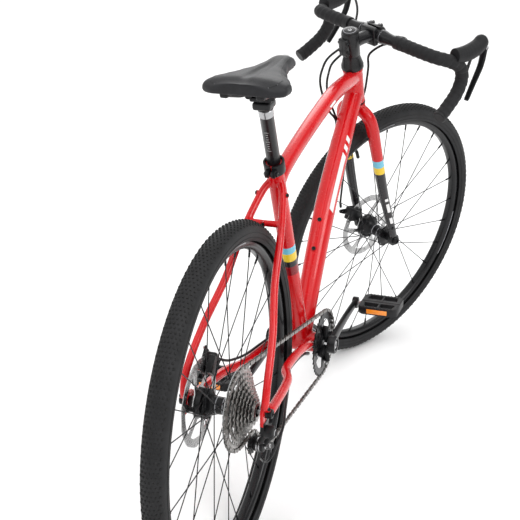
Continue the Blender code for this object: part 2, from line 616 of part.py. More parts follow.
crank_axis = empty("crank_axis", BOTTOM_BRACKET)
crank_axis.rotation_euler = (0, -CRANK_ANGLE, 0)
for side, sign in (("left", 1), ("right", -1)):
    arm_y = sign * 0.0632
    reach = -sign * CRANK_LENGTH
    arm = as_mesh(wire("crank_arm_" + side, [(0.0, arm_y - sign * 0.0019, 0.0), (reach * 0.5, arm_y, 0.0),
                                             (reach, arm_y + sign * 0.0058, 0.0)], 0.0135, BLACK_METAL, crank_axis,
                       taper=lambda s: 1.0 - 0.3 * s))
    boss = rod("crank_boss_" + side, 0.0183, 0.0173, BLACK_METAL, crank_axis, (0, sign * 0.0652, 0), ALONG_Y,
               group=cutters)
    foot = rod("crank_foot_" + side, 0.0125, 0.0115, BLACK_METAL, crank_axis, (reach, sign * 0.0700, 0), ALONG_Y,
               group=cutters)
    unite(arm, boss)
    unite(arm, foot)
    if side == "left":
        unite(arm, rod("crank_spindle", 0.0115, 0.1100, STEEL, crank_axis, (0, 0.0040, 0), ALONG_Y,
                       group=cutters))
    else:
        cut(arm, rod("crank_socket", 0.0115 + GAP, 0.0600, BLACK_METAL, crank_axis, (0, -0.0260, 0), ALONG_Y,
                     group=cutters))
    pedal_axis = empty("pedal_axis_" + side, (reach, sign * PEDAL_Y, 0), (0, CRANK_ANGLE, 0), crank_axis)
    outline = [(-0.0385, -0.0327), (-0.0288, -0.0423), (0.0288, -0.0423), (0.0385, -0.0327), (0.0385, 0.0327),
               (0.0288, 0.0423), (-0.0288, 0.0423), (-0.0385, 0.0327)]
    holes = [[(-0.0298, -0.0288), (-0.0106, -0.0327), (-0.0106, 0.0327), (-0.0298, 0.0288)],
             [(0.0106, -0.0327), (0.0298, -0.0288), (0.0298, 0.0288), (0.0106, 0.0327)]]
    plate("pedal_" + side, [outline] + holes, 0.0202, PLASTIC, pedal_axis, (0, sign * 0.0038, 0))

ring_windows = []
for k in range(4):
    start = 2 * math.pi * k / 4 + math.radians(20)
    sweep = math.radians(50)
    ring_windows.append(circle(0.0530, 5, start=start, sweep=sweep)
                        + circle(0.0288, 4, start=start, sweep=sweep)[::-1])
chainring = plate("chainring", [circle(RING_RADIUS, 36), circle(0.0115 + GAP, 16)] + ring_windows, 0.0029,
                  BLACK_METAL, crank_axis, (0, CHAIN_Y, 0), IN_SIDE_PLANE)


def belt(circles, counts):
    """A closed path round circles (x, z, radius, turn): turn is 1 inside the loop and -1 outside it."""
    sweeps = [[0.0, 0.0] for _ in circles]
    for i, (x, z, radius, turn) in enumerate(circles):
        j = (i + 1) % len(circles)
        next_x, next_z, next_radius, next_turn = circles[j]
        run = math.hypot(next_x - x, next_z - z)
        heading = math.atan2(next_z - z, next_x - x) + math.asin((radius * turn - next_radius * next_turn) / run)
        sweeps[i][1] = heading - turn * math.pi / 2
        sweeps[j][0] = heading - next_turn * math.pi / 2
    path = []
    for (x, z, radius, turn), (start, stop), count in zip(circles, sweeps, counts):
        sweep = turn * ((turn * (stop - start)) % (2 * math.pi))
        path += circle(radius, count, (x, z), start, sweep)
    return path


def offset_loop(points, distance):
    """The closed outline moved sideways by distance."""
    out = []
    count = len(points)
    for i, point in enumerate(points):
        before = Vector(points[i - 1])
        after = Vector(points[(i + 1) % count])
        direction = (after - before).normalized()
        out.append((point[0] + direction.y * distance, point[1] - direction.x * distance))
    return out


# The chain, its pulleys and the cage lie in one plane, slanted from the chainring to the sprocket.
CHAIN_LIFT = CHAIN_HALF + 0.0008
chain_line = Vector((REAR_AXLE.x - BB_X, CHAIN_REAR_Y - CHAIN_Y))
chain_slant = math.atan2(-chain_line.y, -chain_line.x)


def chain_place(x, z):
    """A place in the chain's plane, and its distance forward of the bottom bracket along that plane."""
    return Vector((x, CHAIN_Y + (x - BB_X) * chain_line.y / chain_line.x, z)), (x - BB_X) / math.cos(chain_slant)


guide_place, guide_x = chain_place(*GUIDE_PULLEY)
tension_place, tension_x = chain_place(*TENSION_PULLEY)
rear_x = chain_place(REAR_AXLE.x, REAR_AXLE.z)[1]
middle = belt([(0.0, BB_Z, RING_RADIUS + CHAIN_LIFT, 1), (rear_x, REAR_AXLE.z, CASSETTE_BIG + CHAIN_LIFT, 1),
               (guide_x, GUIDE_PULLEY[1], PULLEY_RADIUS + CHAIN_LIFT, -1),
               (tension_x, TENSION_PULLEY[1], PULLEY_RADIUS + CHAIN_LIFT, 1)], (13, 16, 5, 5))
plate("chain", [offset_loop(middle, CHAIN_HALF), offset_loop(middle, -CHAIN_HALF)], 0.0056, CHAIN_STEEL,
              None, (BB_X, CHAIN_Y, 0), (math.pi / 2, 0, chain_slant))

# ---- rear derailleur ----
CAGE_HALF = 0.0046            # from the pulleys' middle to each cage plate
PLATE_THICKNESS = 0.0015
PIN_HALF = CAGE_HALF + PLATE_THICKNESS
PIN_RADIUS = 0.0024
cage_axis = empty("cage_axis", guide_place, (0, 0, chain_slant))
tension_axis = empty("tension_axis", tension_place, (0, 0, chain_slant))
for name, axis_ in (("guide_pulley", cage_axis), ("tension_pulley", tension_axis)):
    turned(name, bored(PULLEY_RADIUS, PIN_RADIUS + 2 * GAP, -0.0018, 0.0018), PLASTIC, axis_, rotation=ALONG_Y,
           ring=True)

span = Vector((tension_x - guide_x, TENSION_PULLEY[1] - GUIDE_PULLEY[1]))
span_angle = math.atan2(span.y, span.x)
cage_outline = (circle(0.0110, 8, (0, 0), span_angle + math.pi / 2, math.pi)
                + circle(0.0160, 10, span, span_angle - math.pi / 2, math.pi))
cage = plate("derailleur_cage", [cage_outline], PLATE_THICKNESS, BLACK_METAL, cage_axis, (0, -CAGE_HALF, 0),
             IN_SIDE_PLANE)
unite(cage, plate("cage_inner", [cage_outline], PLATE_THICKNESS, BLACK_METAL, cage_axis, (0, CAGE_HALF, 0),
                  IN_SIDE_PLANE, cutters))
for name, place in (("guide_pin", Vector((0, 0))), ("tension_pin", span)):
    unite(cage, rod(name, PIN_RADIUS, 2 * PIN_HALF, BLACK_METAL, cage_axis, (place.x, 0, place.y), ALONG_Y, 12,
                    cutters))

KNUCKLE_LENGTH = 0.0180
KNUCKLE_Y = -PIN_HALF - 2 * GAP - KNUCKLE_LENGTH / 2
HANGER = Vector((REAR_AXLE.x - 0.0040, -REAR_OLD - 0.0144, REAR_AXLE.z - 0.0330))
derailleur = rod("rear_derailleur", 0.0125, KNUCKLE_LENGTH, PLASTIC, cage_axis, (0, KNUCKLE_Y, 0), ALONG_Y)
unite(derailleur, rod("hanger_knuckle", 0.0115, 0.0150, PLASTIC, None, HANGER, ALONG_Y, group=cutters))
link_low = guide_place + Vector((0, KNUCKLE_Y - 0.0020, 0))
link_high = HANGER + Vector((0.0040, -0.0030, -0.0040))
link = wire("parallelogram", [link_high, (link_low + link_high) / 2, link_low], 0.0078, PLASTIC)
unite(derailleur, as_mesh(link, cutters))
block = wire("cable_block", [link_low, link_low + Vector((0.0200, -0.0020, -0.0120)),
                             link_low + Vector((0.0400, -0.0040, -0.0220))], 0.0085, PLASTIC)
unite(derailleur, as_mesh(block, cutters))


# ---- disc brakes ----
def caliper(name, hub_axis, center, angle, height, rotor_height):
    """A body astride the rotor, in the hub's frame, and its arm on the outer side."""
    thickness = 0.0245
    body = box(name, (0.0330, 0.0330, thickness), BLACK_METAL, hub_axis, (center[0], center[1], height),
               (0, 0, angle), 0.003)
    room = rod(name + "_slot", ROTOR_RADIUS + 0.0015, 0.0040, BLACK_METAL, hub_axis, (0, 0, rotor_height),
               sides=40, group=cutters)
    cut(body, room)
    outside = height + thickness / 2 + GAP
    pivot = empty(name + "_pivot", (center[0], center[1], outside), (0, 0, angle), hub_axis)
    outline = (circle(0.0090, 7, (0, 0), math.pi / 2, math.pi)
               + circle(0.0050, 5, (0.0300, 0), -math.pi / 2, math.pi))
    plate(name + "_arm", [outline], 0.0030, BLACK_METAL, pivot, (0, 0, 0.0015))


# In a hub's frame, x is forward, y is down and z is to the left.
caliper("front_caliper", front_hub, (-0.0380, -0.0570), math.radians(-150), 0.0367, FRONT_ROTOR_Y)
caliper("rear_caliper", rear_hub, (0.0450, -0.0510), math.radians(-50), 0.0470, REAR_ROTOR_Y)

# ---- bottle bosses on the down tube ----
DOWN_SLOPE = Vector((DOWN_TUBE[2][0] - DOWN_TUBE[3][0], 0, DOWN_TUBE[2][1] - DOWN_TUBE[3][1])).normalized()
DOWN_NORMAL = Vector((-DOWN_SLOPE.z, 0, DOWN_SLOPE.x))
BOSS_SPACING = 0.064
boss_middle = Vector((0.0600, 0, 0.4465))
for k, side in enumerate((-0.5, 0.5)):
    place = boss_middle + DOWN_SLOPE * BOSS_SPACING * side + DOWN_NORMAL * 0.0205
    boss = rod("bottle_boss_%d" % (k + 1), 0.0060, 0.0080, RED, None, place, group=cutters)
    boss.rotation_euler = DOWN_NORMAL.to_track_quat("Z", "Y").to_euler()
    unite(down_tube, boss)

# ---- cables ----
CABLE_RADIUS = 0.0025
bpy.context.view_layer.update()
turn = steering.matrix_world.copy()


def from_steering(x, y, z):
    return tuple(turn @ Vector((x, y, z)))


REAR_BRAKE_ROUTE = [from_steering(0.1700, 0.1640, 0.5300), from_steering(0.1500, 0.1300, 0.5330),
                    from_steering(0.1250, 0.1020, 0.5230), from_steering(0.0880, 0.0790, 0.5040),
                    from_steering(0.0540, 0.0560, 0.5000),
                    (0.2735, 0.0470, 0.7842), (0.2383, 0.0520, 0.7624), (0.2244, 0.0520, 0.7400),
                    (0.2260, 0.0460, 0.7100), (0.2467, 0.0370, 0.6719), (0.2600, 0.0240, 0.6400),
                    (0.2010, 0.0215, 0.5760), (0.1259, 0.0215, 0.5040), (0.0740, 0.0215, 0.4420),
                    (0.0239, 0.0215, 0.3730), (-0.0180, 0.0262, 0.3240), (-0.0560, 0.0250, 0.3050),
                    (-0.0962, 0.0300, 0.2890), (-0.1500, 0.0345, 0.3050), (-0.2095, 0.0360, 0.3150),
                    (-0.2800, 0.0420, 0.3220), (-0.3250, 0.0490, 0.3310), (-0.3600, 0.0520, 0.3440),
                    (-0.4000, 0.0580, 0.3680), (-0.4190, 0.0612, 0.3850), (-0.4255, 0.0612, 0.3920)]
SHIFT_ROUTE = [from_steering(0.0900, -0.0800, 0.5200), from_steering(0.1060, -0.0650, 0.5150),
               from_steering(0.1240, -0.0350, 0.5050), from_steering(0.1050, 0.0200, 0.4970),
               from_steering(0.0560, 0.0420, 0.4930),
               (0.2800, 0.0370, 0.7750), (0.2560, 0.0430, 0.7500), (0.2460, 0.0430, 0.7250),
               (0.2520, 0.0390, 0.6980), (0.2700, 0.0300, 0.6580), (0.2745, 0.0205, 0.6360),
               (0.2690, 0.0080, 0.6230),
               (0.2060, 0.0080, 0.5660), (0.1340, 0.0080, 0.4985), (0.0800, 0.0080, 0.4310),
               (0.0322, 0.0080, 0.3665), (-0.0060, 0.0080, 0.3020), (-0.0250, 0.0060, 0.2540),
               (-0.0520, -0.0020, 0.2330), (-0.0850, -0.0220, 0.2460), (-0.1100, -0.0310, 0.2610),
               (-0.1500, -0.0345, 0.2770), (-0.2095, -0.0360, 0.2880), (-0.2900, -0.0420, 0.2950),
               (-0.3450, -0.0620, 0.2980), (-0.4200, -0.0830, 0.2960), (-0.4650, -0.0945, 0.2890),
               (-0.5000, -0.0960, 0.2760), (-0.5200, -0.0900, 0.2560), (-0.5110, -0.0780, 0.2400),
               (-0.4920, -0.0640, 0.2330)]
FRONT_BRAKE_ROUTE = [(0.0700, -0.0860, 0.5110), (0.0670, -0.0550, 0.5100), (0.0640, -0.0300, 0.5045),
                     (0.0560, -0.0100, 0.4960), (0.0500, 0.0000, 0.4800), (0.0480, 0.0000, 0.4560),
                     (0.0462, 0.0050, 0.4253), (0.0428, 0.0100, 0.3950), (0.0360, 0.0180, 0.3620),
                     (0.0220, 0.0285, 0.3300), (0.0060, 0.0310, 0.3000), (-0.0080, 0.0350, 0.2650),
                     (-0.0090, 0.0430, 0.2000), (-0.0180, 0.0490, 0.1350), (-0.0240, 0.0508, 0.1020),
                     (-0.0250, 0.0508, 0.0850)]
wire("rear_brake_cable", along(REAR_BRAKE_ROUTE, 2), CABLE_RADIUS, HOUSING, None, 2)
wire("shift_cable", along(SHIFT_ROUTE, 2), CABLE_RADIUS, HOUSING, None, 2)
wire("front_brake_cable", along(FRONT_BRAKE_ROUTE, 2), CABLE_RADIUS, HOUSING, steering, 2)
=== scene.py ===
"""A gravel road bicycle with a red frame, dressed over its CAD frame.

Metres, with +X forward, +Y to the rider's left and +Z up.
"""
import math

import bmesh
import bpy
from mathutils import Matrix, Vector


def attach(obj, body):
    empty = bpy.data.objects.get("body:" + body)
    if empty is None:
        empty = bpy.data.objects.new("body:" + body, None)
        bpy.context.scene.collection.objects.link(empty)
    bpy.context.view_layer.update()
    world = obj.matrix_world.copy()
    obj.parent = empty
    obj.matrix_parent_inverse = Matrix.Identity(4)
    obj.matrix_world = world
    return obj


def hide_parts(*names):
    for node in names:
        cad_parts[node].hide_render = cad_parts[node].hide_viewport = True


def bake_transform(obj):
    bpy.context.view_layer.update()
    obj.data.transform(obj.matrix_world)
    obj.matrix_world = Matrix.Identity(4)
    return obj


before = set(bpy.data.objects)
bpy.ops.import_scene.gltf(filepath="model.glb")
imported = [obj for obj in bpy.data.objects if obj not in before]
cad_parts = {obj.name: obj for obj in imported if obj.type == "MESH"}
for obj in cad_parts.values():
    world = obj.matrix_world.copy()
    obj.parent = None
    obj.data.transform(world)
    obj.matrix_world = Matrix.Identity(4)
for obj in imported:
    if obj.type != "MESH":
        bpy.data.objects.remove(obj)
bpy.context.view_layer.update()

# ---- places, as in the CAD ----
WHEELBASE, WHEEL_RADIUS = 0.990, 0.325
HEAD_ANGLE, STEER_TURN, FORK_RAKE = math.radians(70.0), math.radians(29.3), 0.0385
BB = Vector((-0.0538, 0.0, 0.2606))
SEAT_ANGLE = math.radians(66.7)
CRANK_ANGLE, CRANK_LENGTH = math.radians(10.5), 0.165
REAR_AXLE = Vector((-WHEELBASE / 2, 0.0, WHEEL_RADIUS))
HEAD_FORWARD = Vector((math.sin(HEAD_ANGLE), 0.0, math.cos(HEAD_ANGLE)))
HEAD_FOOT = Vector((WHEELBASE / 2, 0.0, WHEEL_RADIUS)) - FORK_RAKE * HEAD_FORWARD
SEAT_UP = Vector((-math.cos(SEAT_ANGLE), 0.0, math.sin(SEAT_ANGLE)))
LEAN = -(math.pi / 2 - HEAD_ANGLE)
HEAD = Matrix.Translation(HEAD_FOOT) @ Matrix.Rotation(LEAN, 4, "Y")
STEER = HEAD @ Matrix.Rotation(-STEER_TURN, 4, "Z")
SEAT = Matrix.Translation(BB) @ Matrix.Rotation(-(math.pi / 2 - SEAT_ANGLE), 4, "Y")
ALONG_Y = Matrix.Rotation(-math.pi / 2, 4, "X")
SIDE = Matrix.Rotation(math.pi / 2, 4, "X")
FRONT_HUB = STEER @ Matrix.Translation((FORK_RAKE, 0, 0)) @ ALONG_Y
REAR_HUB = Matrix.Translation(REAR_AXLE) @ ALONG_Y
CRANK = Matrix.Translation(BB) @ Matrix.Rotation(-CRANK_ANGLE, 4, "Y")
LEVEL_X = Vector((math.sin(HEAD_ANGLE), 0, -math.cos(HEAD_ANGLE)))
LEVEL_Z = Vector((math.cos(HEAD_ANGLE), 0, math.sin(HEAD_ANGLE)))
BAR_CENTRE = Vector((0.0690, 0, 0.5300))

# ---- camera, floor and lights ----
camera_data = bpy.data.cameras.new("camera")
camera_data.lens = 83.68
camera_data.sensor_width = 36.0
camera_data.clip_end = 100.0
camera = bpy.data.objects.new("camera", camera_data)
bpy.context.scene.collection.objects.link(camera)
RIGHT = Vector((0.32926, -0.94424, -0.00113))
UP = Vector((0.33362, 0.11521, 0.93564))
AHEAD = Vector((0.88334, 0.30844, -0.35295))
look = Matrix((RIGHT, UP, -AHEAD)).transposed().to_4x4()
look.translation = Vector((-2.2309, -0.6686, 1.2960))
camera.matrix_world = look
bpy.context.scene.camera = camera


def area_light(name, place, target, size, power):
    data = bpy.data.lights.new(name, "AREA")
    data.shape = "DISK"
    data.size = size
    data.energy = power
    light = bpy.data.objects.new(name, data)
    light.location = place
    light.rotation_euler = (Vector(target) - Vector(place)).to_track_quat("-Z", "Y").to_euler()
    bpy.context.scene.collection.objects.link(light)


def sun_light(name, direction, strength, softness):
    data = bpy.data.lights.new(name, "SUN")
    data.energy = strength
    data.angle = math.radians(softness)
    light = bpy.data.objects.new(name, data)
    light.rotation_euler = Vector(direction).to_track_quat("-Z", "Y").to_euler()
    bpy.context.scene.collection.objects.link(light)


sun_light("sky_key", (0.35, 0.45, -1.0), 1.5, 80)
sun_light("sky_fill", (-0.30, -0.35, -1.0), 1.3, 100)
area_light("key", (-1.2, -3.2, 3.4), (0, 0, 0.4), 2.2, 55)
area_light("fill", (-2.8, 2.6, 2.6), (0, 0, 0.4), 3.0, 25)
area_light("rim", (3.2, 0.8, 2.4), (0, 0, 0.5), 2.2, 25)
world = bpy.data.worlds.new("studio")
world.use_nodes = True
world.node_tree.nodes["Background"].inputs["Color"].default_value = (1.0, 1.0, 1.0, 1.0)
sky = world.node_tree
toward = sky.nodes.new("ShaderNodeTexCoord")
split = sky.nodes.new("ShaderNodeSeparateXYZ")
fade = sky.nodes.new("ShaderNodeMapRange")
for key, value in (("From Min", 0.10), ("From Max", 0.40), ("To Min", 1.0), ("To Max", 0.30)):
    fade.inputs[key].default_value = value
sky.links.new(toward.outputs["Generated"], split.inputs["Vector"])
sky.links.new(split.outputs["Z"], fade.inputs["Value"])
sky.links.new(fade.outputs["Result"], sky.nodes["Background"].inputs["Strength"])
bpy.context.scene.world = world
bpy.context.scene.view_settings.view_transform = "Standard"


# ---- materials ----
class Shade:
    """A Principled material with helpers for procedural detail in the object's own coordinates."""

    def __init__(self, name, rough, metallic=0.0, coat=0.0, sheen=0.0, alpha=1.0):
        self.material = bpy.data.materials.new(name)
        self.material.use_nodes = True
        self.tree = self.material.node_tree
        self.shader = self.tree.nodes["Principled BSDF"]
        self.rough = rough
        self.shader.inputs["Metallic"].default_value = metallic
        self.shader.inputs["Specular IOR Level"].default_value = 0.28
        self.shader.inputs["Coat Weight"].default_value = coat
        self.shader.inputs["Coat Roughness"].default_value = 0.06
        self.shader.inputs["Sheen Weight"].default_value = sheen
        self.shader.inputs["Alpha"].default_value = alpha
        self.place = self.node("ShaderNodeTexCoord").outputs["Object"]

    def node(self, kind, **values):
        made = self.tree.nodes.new(kind)
        for key, value in values.items():
            if hasattr(made, key):
                setattr(made, key, value)
            else:
                made.inputs[key.replace("_", " ")].default_value = value
        return made

    def link(self, source, target):
        self.tree.links.new(source, target)

    def noise(self, scale, detail=4.0, stretch=None):
        place = self.place
        if stretch:
            mapping = self.node("ShaderNodeMapping")
            mapping.inputs["Scale"].default_value = stretch
            self.link(place, mapping.inputs["Vector"])
            place = mapping.outputs["Vector"]
        made = self.node("ShaderNodeTexNoise", Scale=scale, Detail=detail)
        self.link(place, made.inputs["Vector"])
        return made.outputs["Fac"]

    def spread(self, source, low, high, start=0.3, stop=0.7):
        made = self.node("ShaderNodeMapRange")
        for key, value in (("From Min", start), ("From Max", stop), ("To Min", low), ("To Max", high)):
            made.inputs[key].default_value = value
        self.link(source, made.inputs["Value"])
        return made.outputs["Result"]

    def math(self, kind, first, second=None):
        made = self.node("ShaderNodeMath", operation=kind)
        for socket, value in zip(made.inputs, (first, second)):
            if value is None:
                continue
            if isinstance(value, (int, float)):
                socket.default_value = value
            else:
                self.link(value, socket)
        return made.outputs[0]

    def blend(self, amount, first, second):
        made = self.node("ShaderNodeMix", data_type="RGBA")
        self.link(amount, made.inputs["Factor"])
        for socket, value in ((made.inputs[6], first), (made.inputs[7], second)):
            if isinstance(value, tuple):
                socket.default_value = (*value, 1.0)
            else:
                self.link(value, socket)
        return made.outputs[2]

    def bump(self, height, strength, distance=0.0005):
        made = self.node("ShaderNodeBump", Strength=strength, Distance=distance)
        self.link(height, made.inputs["Height"])
        previous = self.shader.inputs["Normal"].links
        if previous:
            self.link(previous[0].from_socket, made.inputs["Normal"])
        self.link(made.outputs["Normal"], self.shader.inputs["Normal"])

    def color(self, source):
        self.link(source, self.shader.inputs["Base Color"])

    def roughness(self, source):
        self.link(source, self.shader.inputs["Roughness"])


def surface(name, color, rough, metallic=0.0, coat=0.0, sheen=0.0, vary=0.12, scale=60.0, grain=900.0,
            relief=0.15, wear=None, stretch=None, **more):
    """A finish with broad colour variation, fine grain in its relief and gloss, and faint handling marks."""
    made = Shade(name, rough, metallic, coat, sheen, **more)
    broad = made.noise(scale, 5.0)
    fine = made.noise(grain, 3.0, stretch)
    dark = tuple(c * (1 - vary) for c in color)
    light = tuple(min(1.0, c * (1 + vary)) for c in color)
    paint = made.blend(made.spread(broad, 0.0, 1.0), dark, light)
    if wear:
        marks = made.spread(made.noise(scale * 5, 8.0), 0.0, 0.55, 0.62, 0.76)
        paint = made.blend(marks, paint, wear)
    made.color(paint)
    made.roughness(made.spread(fine, rough * 0.8, min(1.0, rough * 1.2)))
    made.bump(fine, relief, 0.0003)
    made.bump(broad, relief * 0.4, 0.0004)
    return made.material


RED = (0.60, 0.003, 0.006)
RED_DARK = (0.22, 0.002, 0.006)
BLUE = (0.16, 0.50, 0.66)
YELLOW = (0.80, 0.55, 0.03)
BLACK = (0.012, 0.012, 0.014)


def banded(name, foot, axis, radius, bands, base):
    """Gloss paint in bands along an axis, kept to the tube of that radius round it."""
    made = Shade(name, 0.2, 0.0, coat=0.35)
    offset = made.node("ShaderNodeVectorMath", operation="SUBTRACT")
    offset.inputs[1].default_value = foot
    made.link(made.place, offset.inputs[0])
    run = made.node("ShaderNodeVectorMath", operation="DOT_PRODUCT")
    run.inputs[1].default_value = axis
    made.link(offset.outputs["Vector"], run.inputs[0])
    height = run.outputs["Value"]
    cross = made.node("ShaderNodeVectorMath", operation="CROSS_PRODUCT")
    cross.inputs[1].default_value = axis
    made.link(offset.outputs["Vector"], cross.inputs[0])
    away = made.node("ShaderNodeVectorMath", operation="LENGTH")
    made.link(cross.outputs["Vector"], away.inputs[0])
    near = made.math("LESS_THAN", away.outputs["Value"], radius)
    broad = made.noise(25.0, 4.0)
    flake = made.noise(2600.0, 2.0)
    dark = tuple(c * 0.86 for c in base)
    paint = made.blend(made.spread(broad, 0.0, 1.0), dark, base)
    for low, high, color in bands:
        above, below = made.math("GREATER_THAN", height, low), made.math("LESS_THAN", height, high)
        inside = made.math("MULTIPLY", above, below)
        paint = made.blend(made.math("MULTIPLY", inside, near), paint, color)
    specks = made.spread(flake, 0.0, 0.12, 0.62, 0.78)
    made.color(made.blend(specks, paint, (0.60, 0.035, 0.03)))
    made.roughness(made.spread(made.noise(140.0, 6.0), 0.16, 0.30))
    made.bump(made.noise(420.0, 2.0), 0.06, 0.0002)
    return made.material


SEAT_BANDS = [(0.2000, 0.2220, RED_DARK), (0.2220, 0.2359, BLACK), (0.2359, 0.2555, YELLOW),
              (0.2555, 0.2712, BLUE)]
PAINT = banded("red_gloss_paint", BB, SEAT_UP, 0.0185, SEAT_BANDS, RED)
LEG_BANDS = [(-0.5, 0.2120, BLACK), (0.2120, 0.2310, YELLOW), (0.2310, 0.2500, BLUE)]
HEAD_UP = Vector((-math.cos(HEAD_ANGLE), 0.0, math.sin(HEAD_ANGLE)))
FORK_PAINT = banded("fork_gloss_paint", HEAD_FOOT, HEAD_UP, 0.3, LEG_BANDS, RED)
ANODISED = surface("black_anodised_alloy", (0.008, 0.008, 0.009), 0.30, 0.2, vary=0.2, grain=1500.0,
                   relief=0.10, wear=(0.045, 0.045, 0.047))
SATIN = surface("satin_black_paint", (0.007, 0.007, 0.008), 0.30, 0.0, coat=0.12, vary=0.2, grain=1100.0,
                relief=0.08, wear=(0.05, 0.05, 0.05))
RIM_BLACK = surface("rim_black", (0.006, 0.006, 0.007), 0.28, 0.1, coat=0.1, vary=0.25, grain=1300.0,
                    relief=0.06, wear=(0.030, 0.030, 0.030))
RUBBER = surface("tyre_rubber", (0.012, 0.012, 0.013), 0.62, vary=0.3, scale=35.0, grain=1400.0, relief=0.35,
                 wear=(0.030, 0.029, 0.028))
TREAD = surface("tread_rubber", (0.016, 0.016, 0.016), 0.80, vary=0.3, scale=90.0, grain=1800.0, relief=0.5,
                wear=(0.038, 0.036, 0.034))
TAPE = surface("cushioned_bar_tape", (0.012, 0.012, 0.013), 0.78, sheen=0.04, vary=0.25, scale=120.0,
               grain=2200.0, relief=0.7)
HOOD_RUBBER = surface("hood_rubber", (0.008, 0.008, 0.009), 0.62, sheen=0.03, vary=0.25, grain=1800.0,
                      relief=0.45)
PLASTIC = surface("moulded_plastic", (0.010, 0.010, 0.011), 0.48, vary=0.25, grain=2000.0, relief=0.3,
                  wear=(0.06, 0.06, 0.06))
STEEL = surface("polished_steel", (0.42, 0.42, 0.43), 0.22, 1.0, vary=0.10, grain=1400.0, relief=0.08,
                wear=(0.35, 0.34, 0.33))
ROTOR_STEEL = surface("ground_rotor_steel", (0.44, 0.44, 0.44), 0.26, 1.0, vary=0.12, grain=900.0, relief=0.2,
                      wear=(0.30, 0.29, 0.28))
SPROCKET = surface("nickel_sprocket", (0.36, 0.35, 0.34), 0.30, 1.0, vary=0.18, grain=1200.0, relief=0.15,
                   wear=(0.22, 0.20, 0.18))
CHAIN_STEEL = surface("oiled_chain_steel", (0.22, 0.21, 0.20), 0.33, 1.0, vary=0.3, scale=300.0, grain=1600.0,
                      relief=0.25, wear=(0.08, 0.07, 0.06))
SPOKE = surface("black_spoke", (0.020, 0.020, 0.022), 0.32, 0.8, vary=0.2, grain=1600.0, relief=0.08)
HOUSING = surface("cable_housing", (0.006, 0.006, 0.007), 0.38, vary=0.3, scale=160.0, grain=1800.0,
                  relief=0.15)
COVER = surface("saddle_leatherette", (0.012, 0.012, 0.014), 0.50, sheen=0.02, vary=0.18, scale=90.0,
                grain=1500.0, relief=0.75)
WHITE = surface("pale_ink", (0.78, 0.78, 0.78), 0.35, coat=0.4, vary=0.04, grain=900.0, relief=0.05)
GREY = surface("grey_ink", (0.30, 0.30, 0.32), 0.40, coat=0.2, vary=0.08, grain=900.0, relief=0.05)
AMBER = surface("amber_reflector", (0.95, 0.28, 0.02), 0.14, coat=1.0, vary=0.08, grain=500.0, relief=0.5)
CLEAR = surface("clear_guard", (0.86, 0.88, 0.90), 0.12, coat=0.3, vary=0.03, grain=600.0, relief=0.1,
                alpha=0.16)
FLOOR = surface("pale_floor", (0.93, 0.93, 0.93), 0.85, vary=0.01, scale=3.0, grain=120.0, relief=0.03)


# ---- modelling tools ----
def smooth_path(points, steps=5):
    """Points of a smooth curve through the given ones."""
    pts = [Vector(p) for p in points]
    ends = [2 * pts[0] - pts[1]] + pts + [2 * pts[-1] - pts[-2]]
    out = []
    for i in range(1, len(ends) - 2):
        a, b, c, d = ends[i - 1:i + 3]
        for k in range(steps):
            t = k / steps
            out.append(0.5 * (2 * b + (c - a) * t + (2 * a - 5 * b + 4 * c - d) * t * t
                              + (3 * b - a - 3 * c + d) * t ** 3))
    out.append(pts[-1])
    return out


def distances(points):
    out = [0.0]
    for first, second in zip(points, points[1:]):
        out.append(out[-1] + (second - first).length)
    return out


def frames_along(points):
    """(point, normal, binormal) along a path, without twist."""
    tangents = []
    for i in range(len(points)):
        after = points[min(i + 1, len(points) - 1)]
        before = points[max(i - 1, 0)]
        tangents.append((after - before).normalized())
    hint = Vector((0, 0, 1)) if abs(tangents[0].z) < 0.9 else Vector((0, 1, 0))
    normal = (hint - tangents[0] * hint.dot(tangents[0])).normalized()
    out = []
    for point, tangent in zip(points, tangents):
        normal = (normal - tangent * normal.dot(tangent)).normalized()
        out.append((point, normal, tangent.cross(normal)))
    return out


def circle(radius, count, center=(0.0, 0.0), start=0.0, sweep=2 * math.pi):
    closed = abs(sweep - 2 * math.pi) < 1e-6
    steps = count if closed else count - 1
    return [(center[0] + radius * math.cos(start + sweep * k / steps),
             center[1] + radius * math.sin(start + sweep * k / steps)) for k in range(count)]


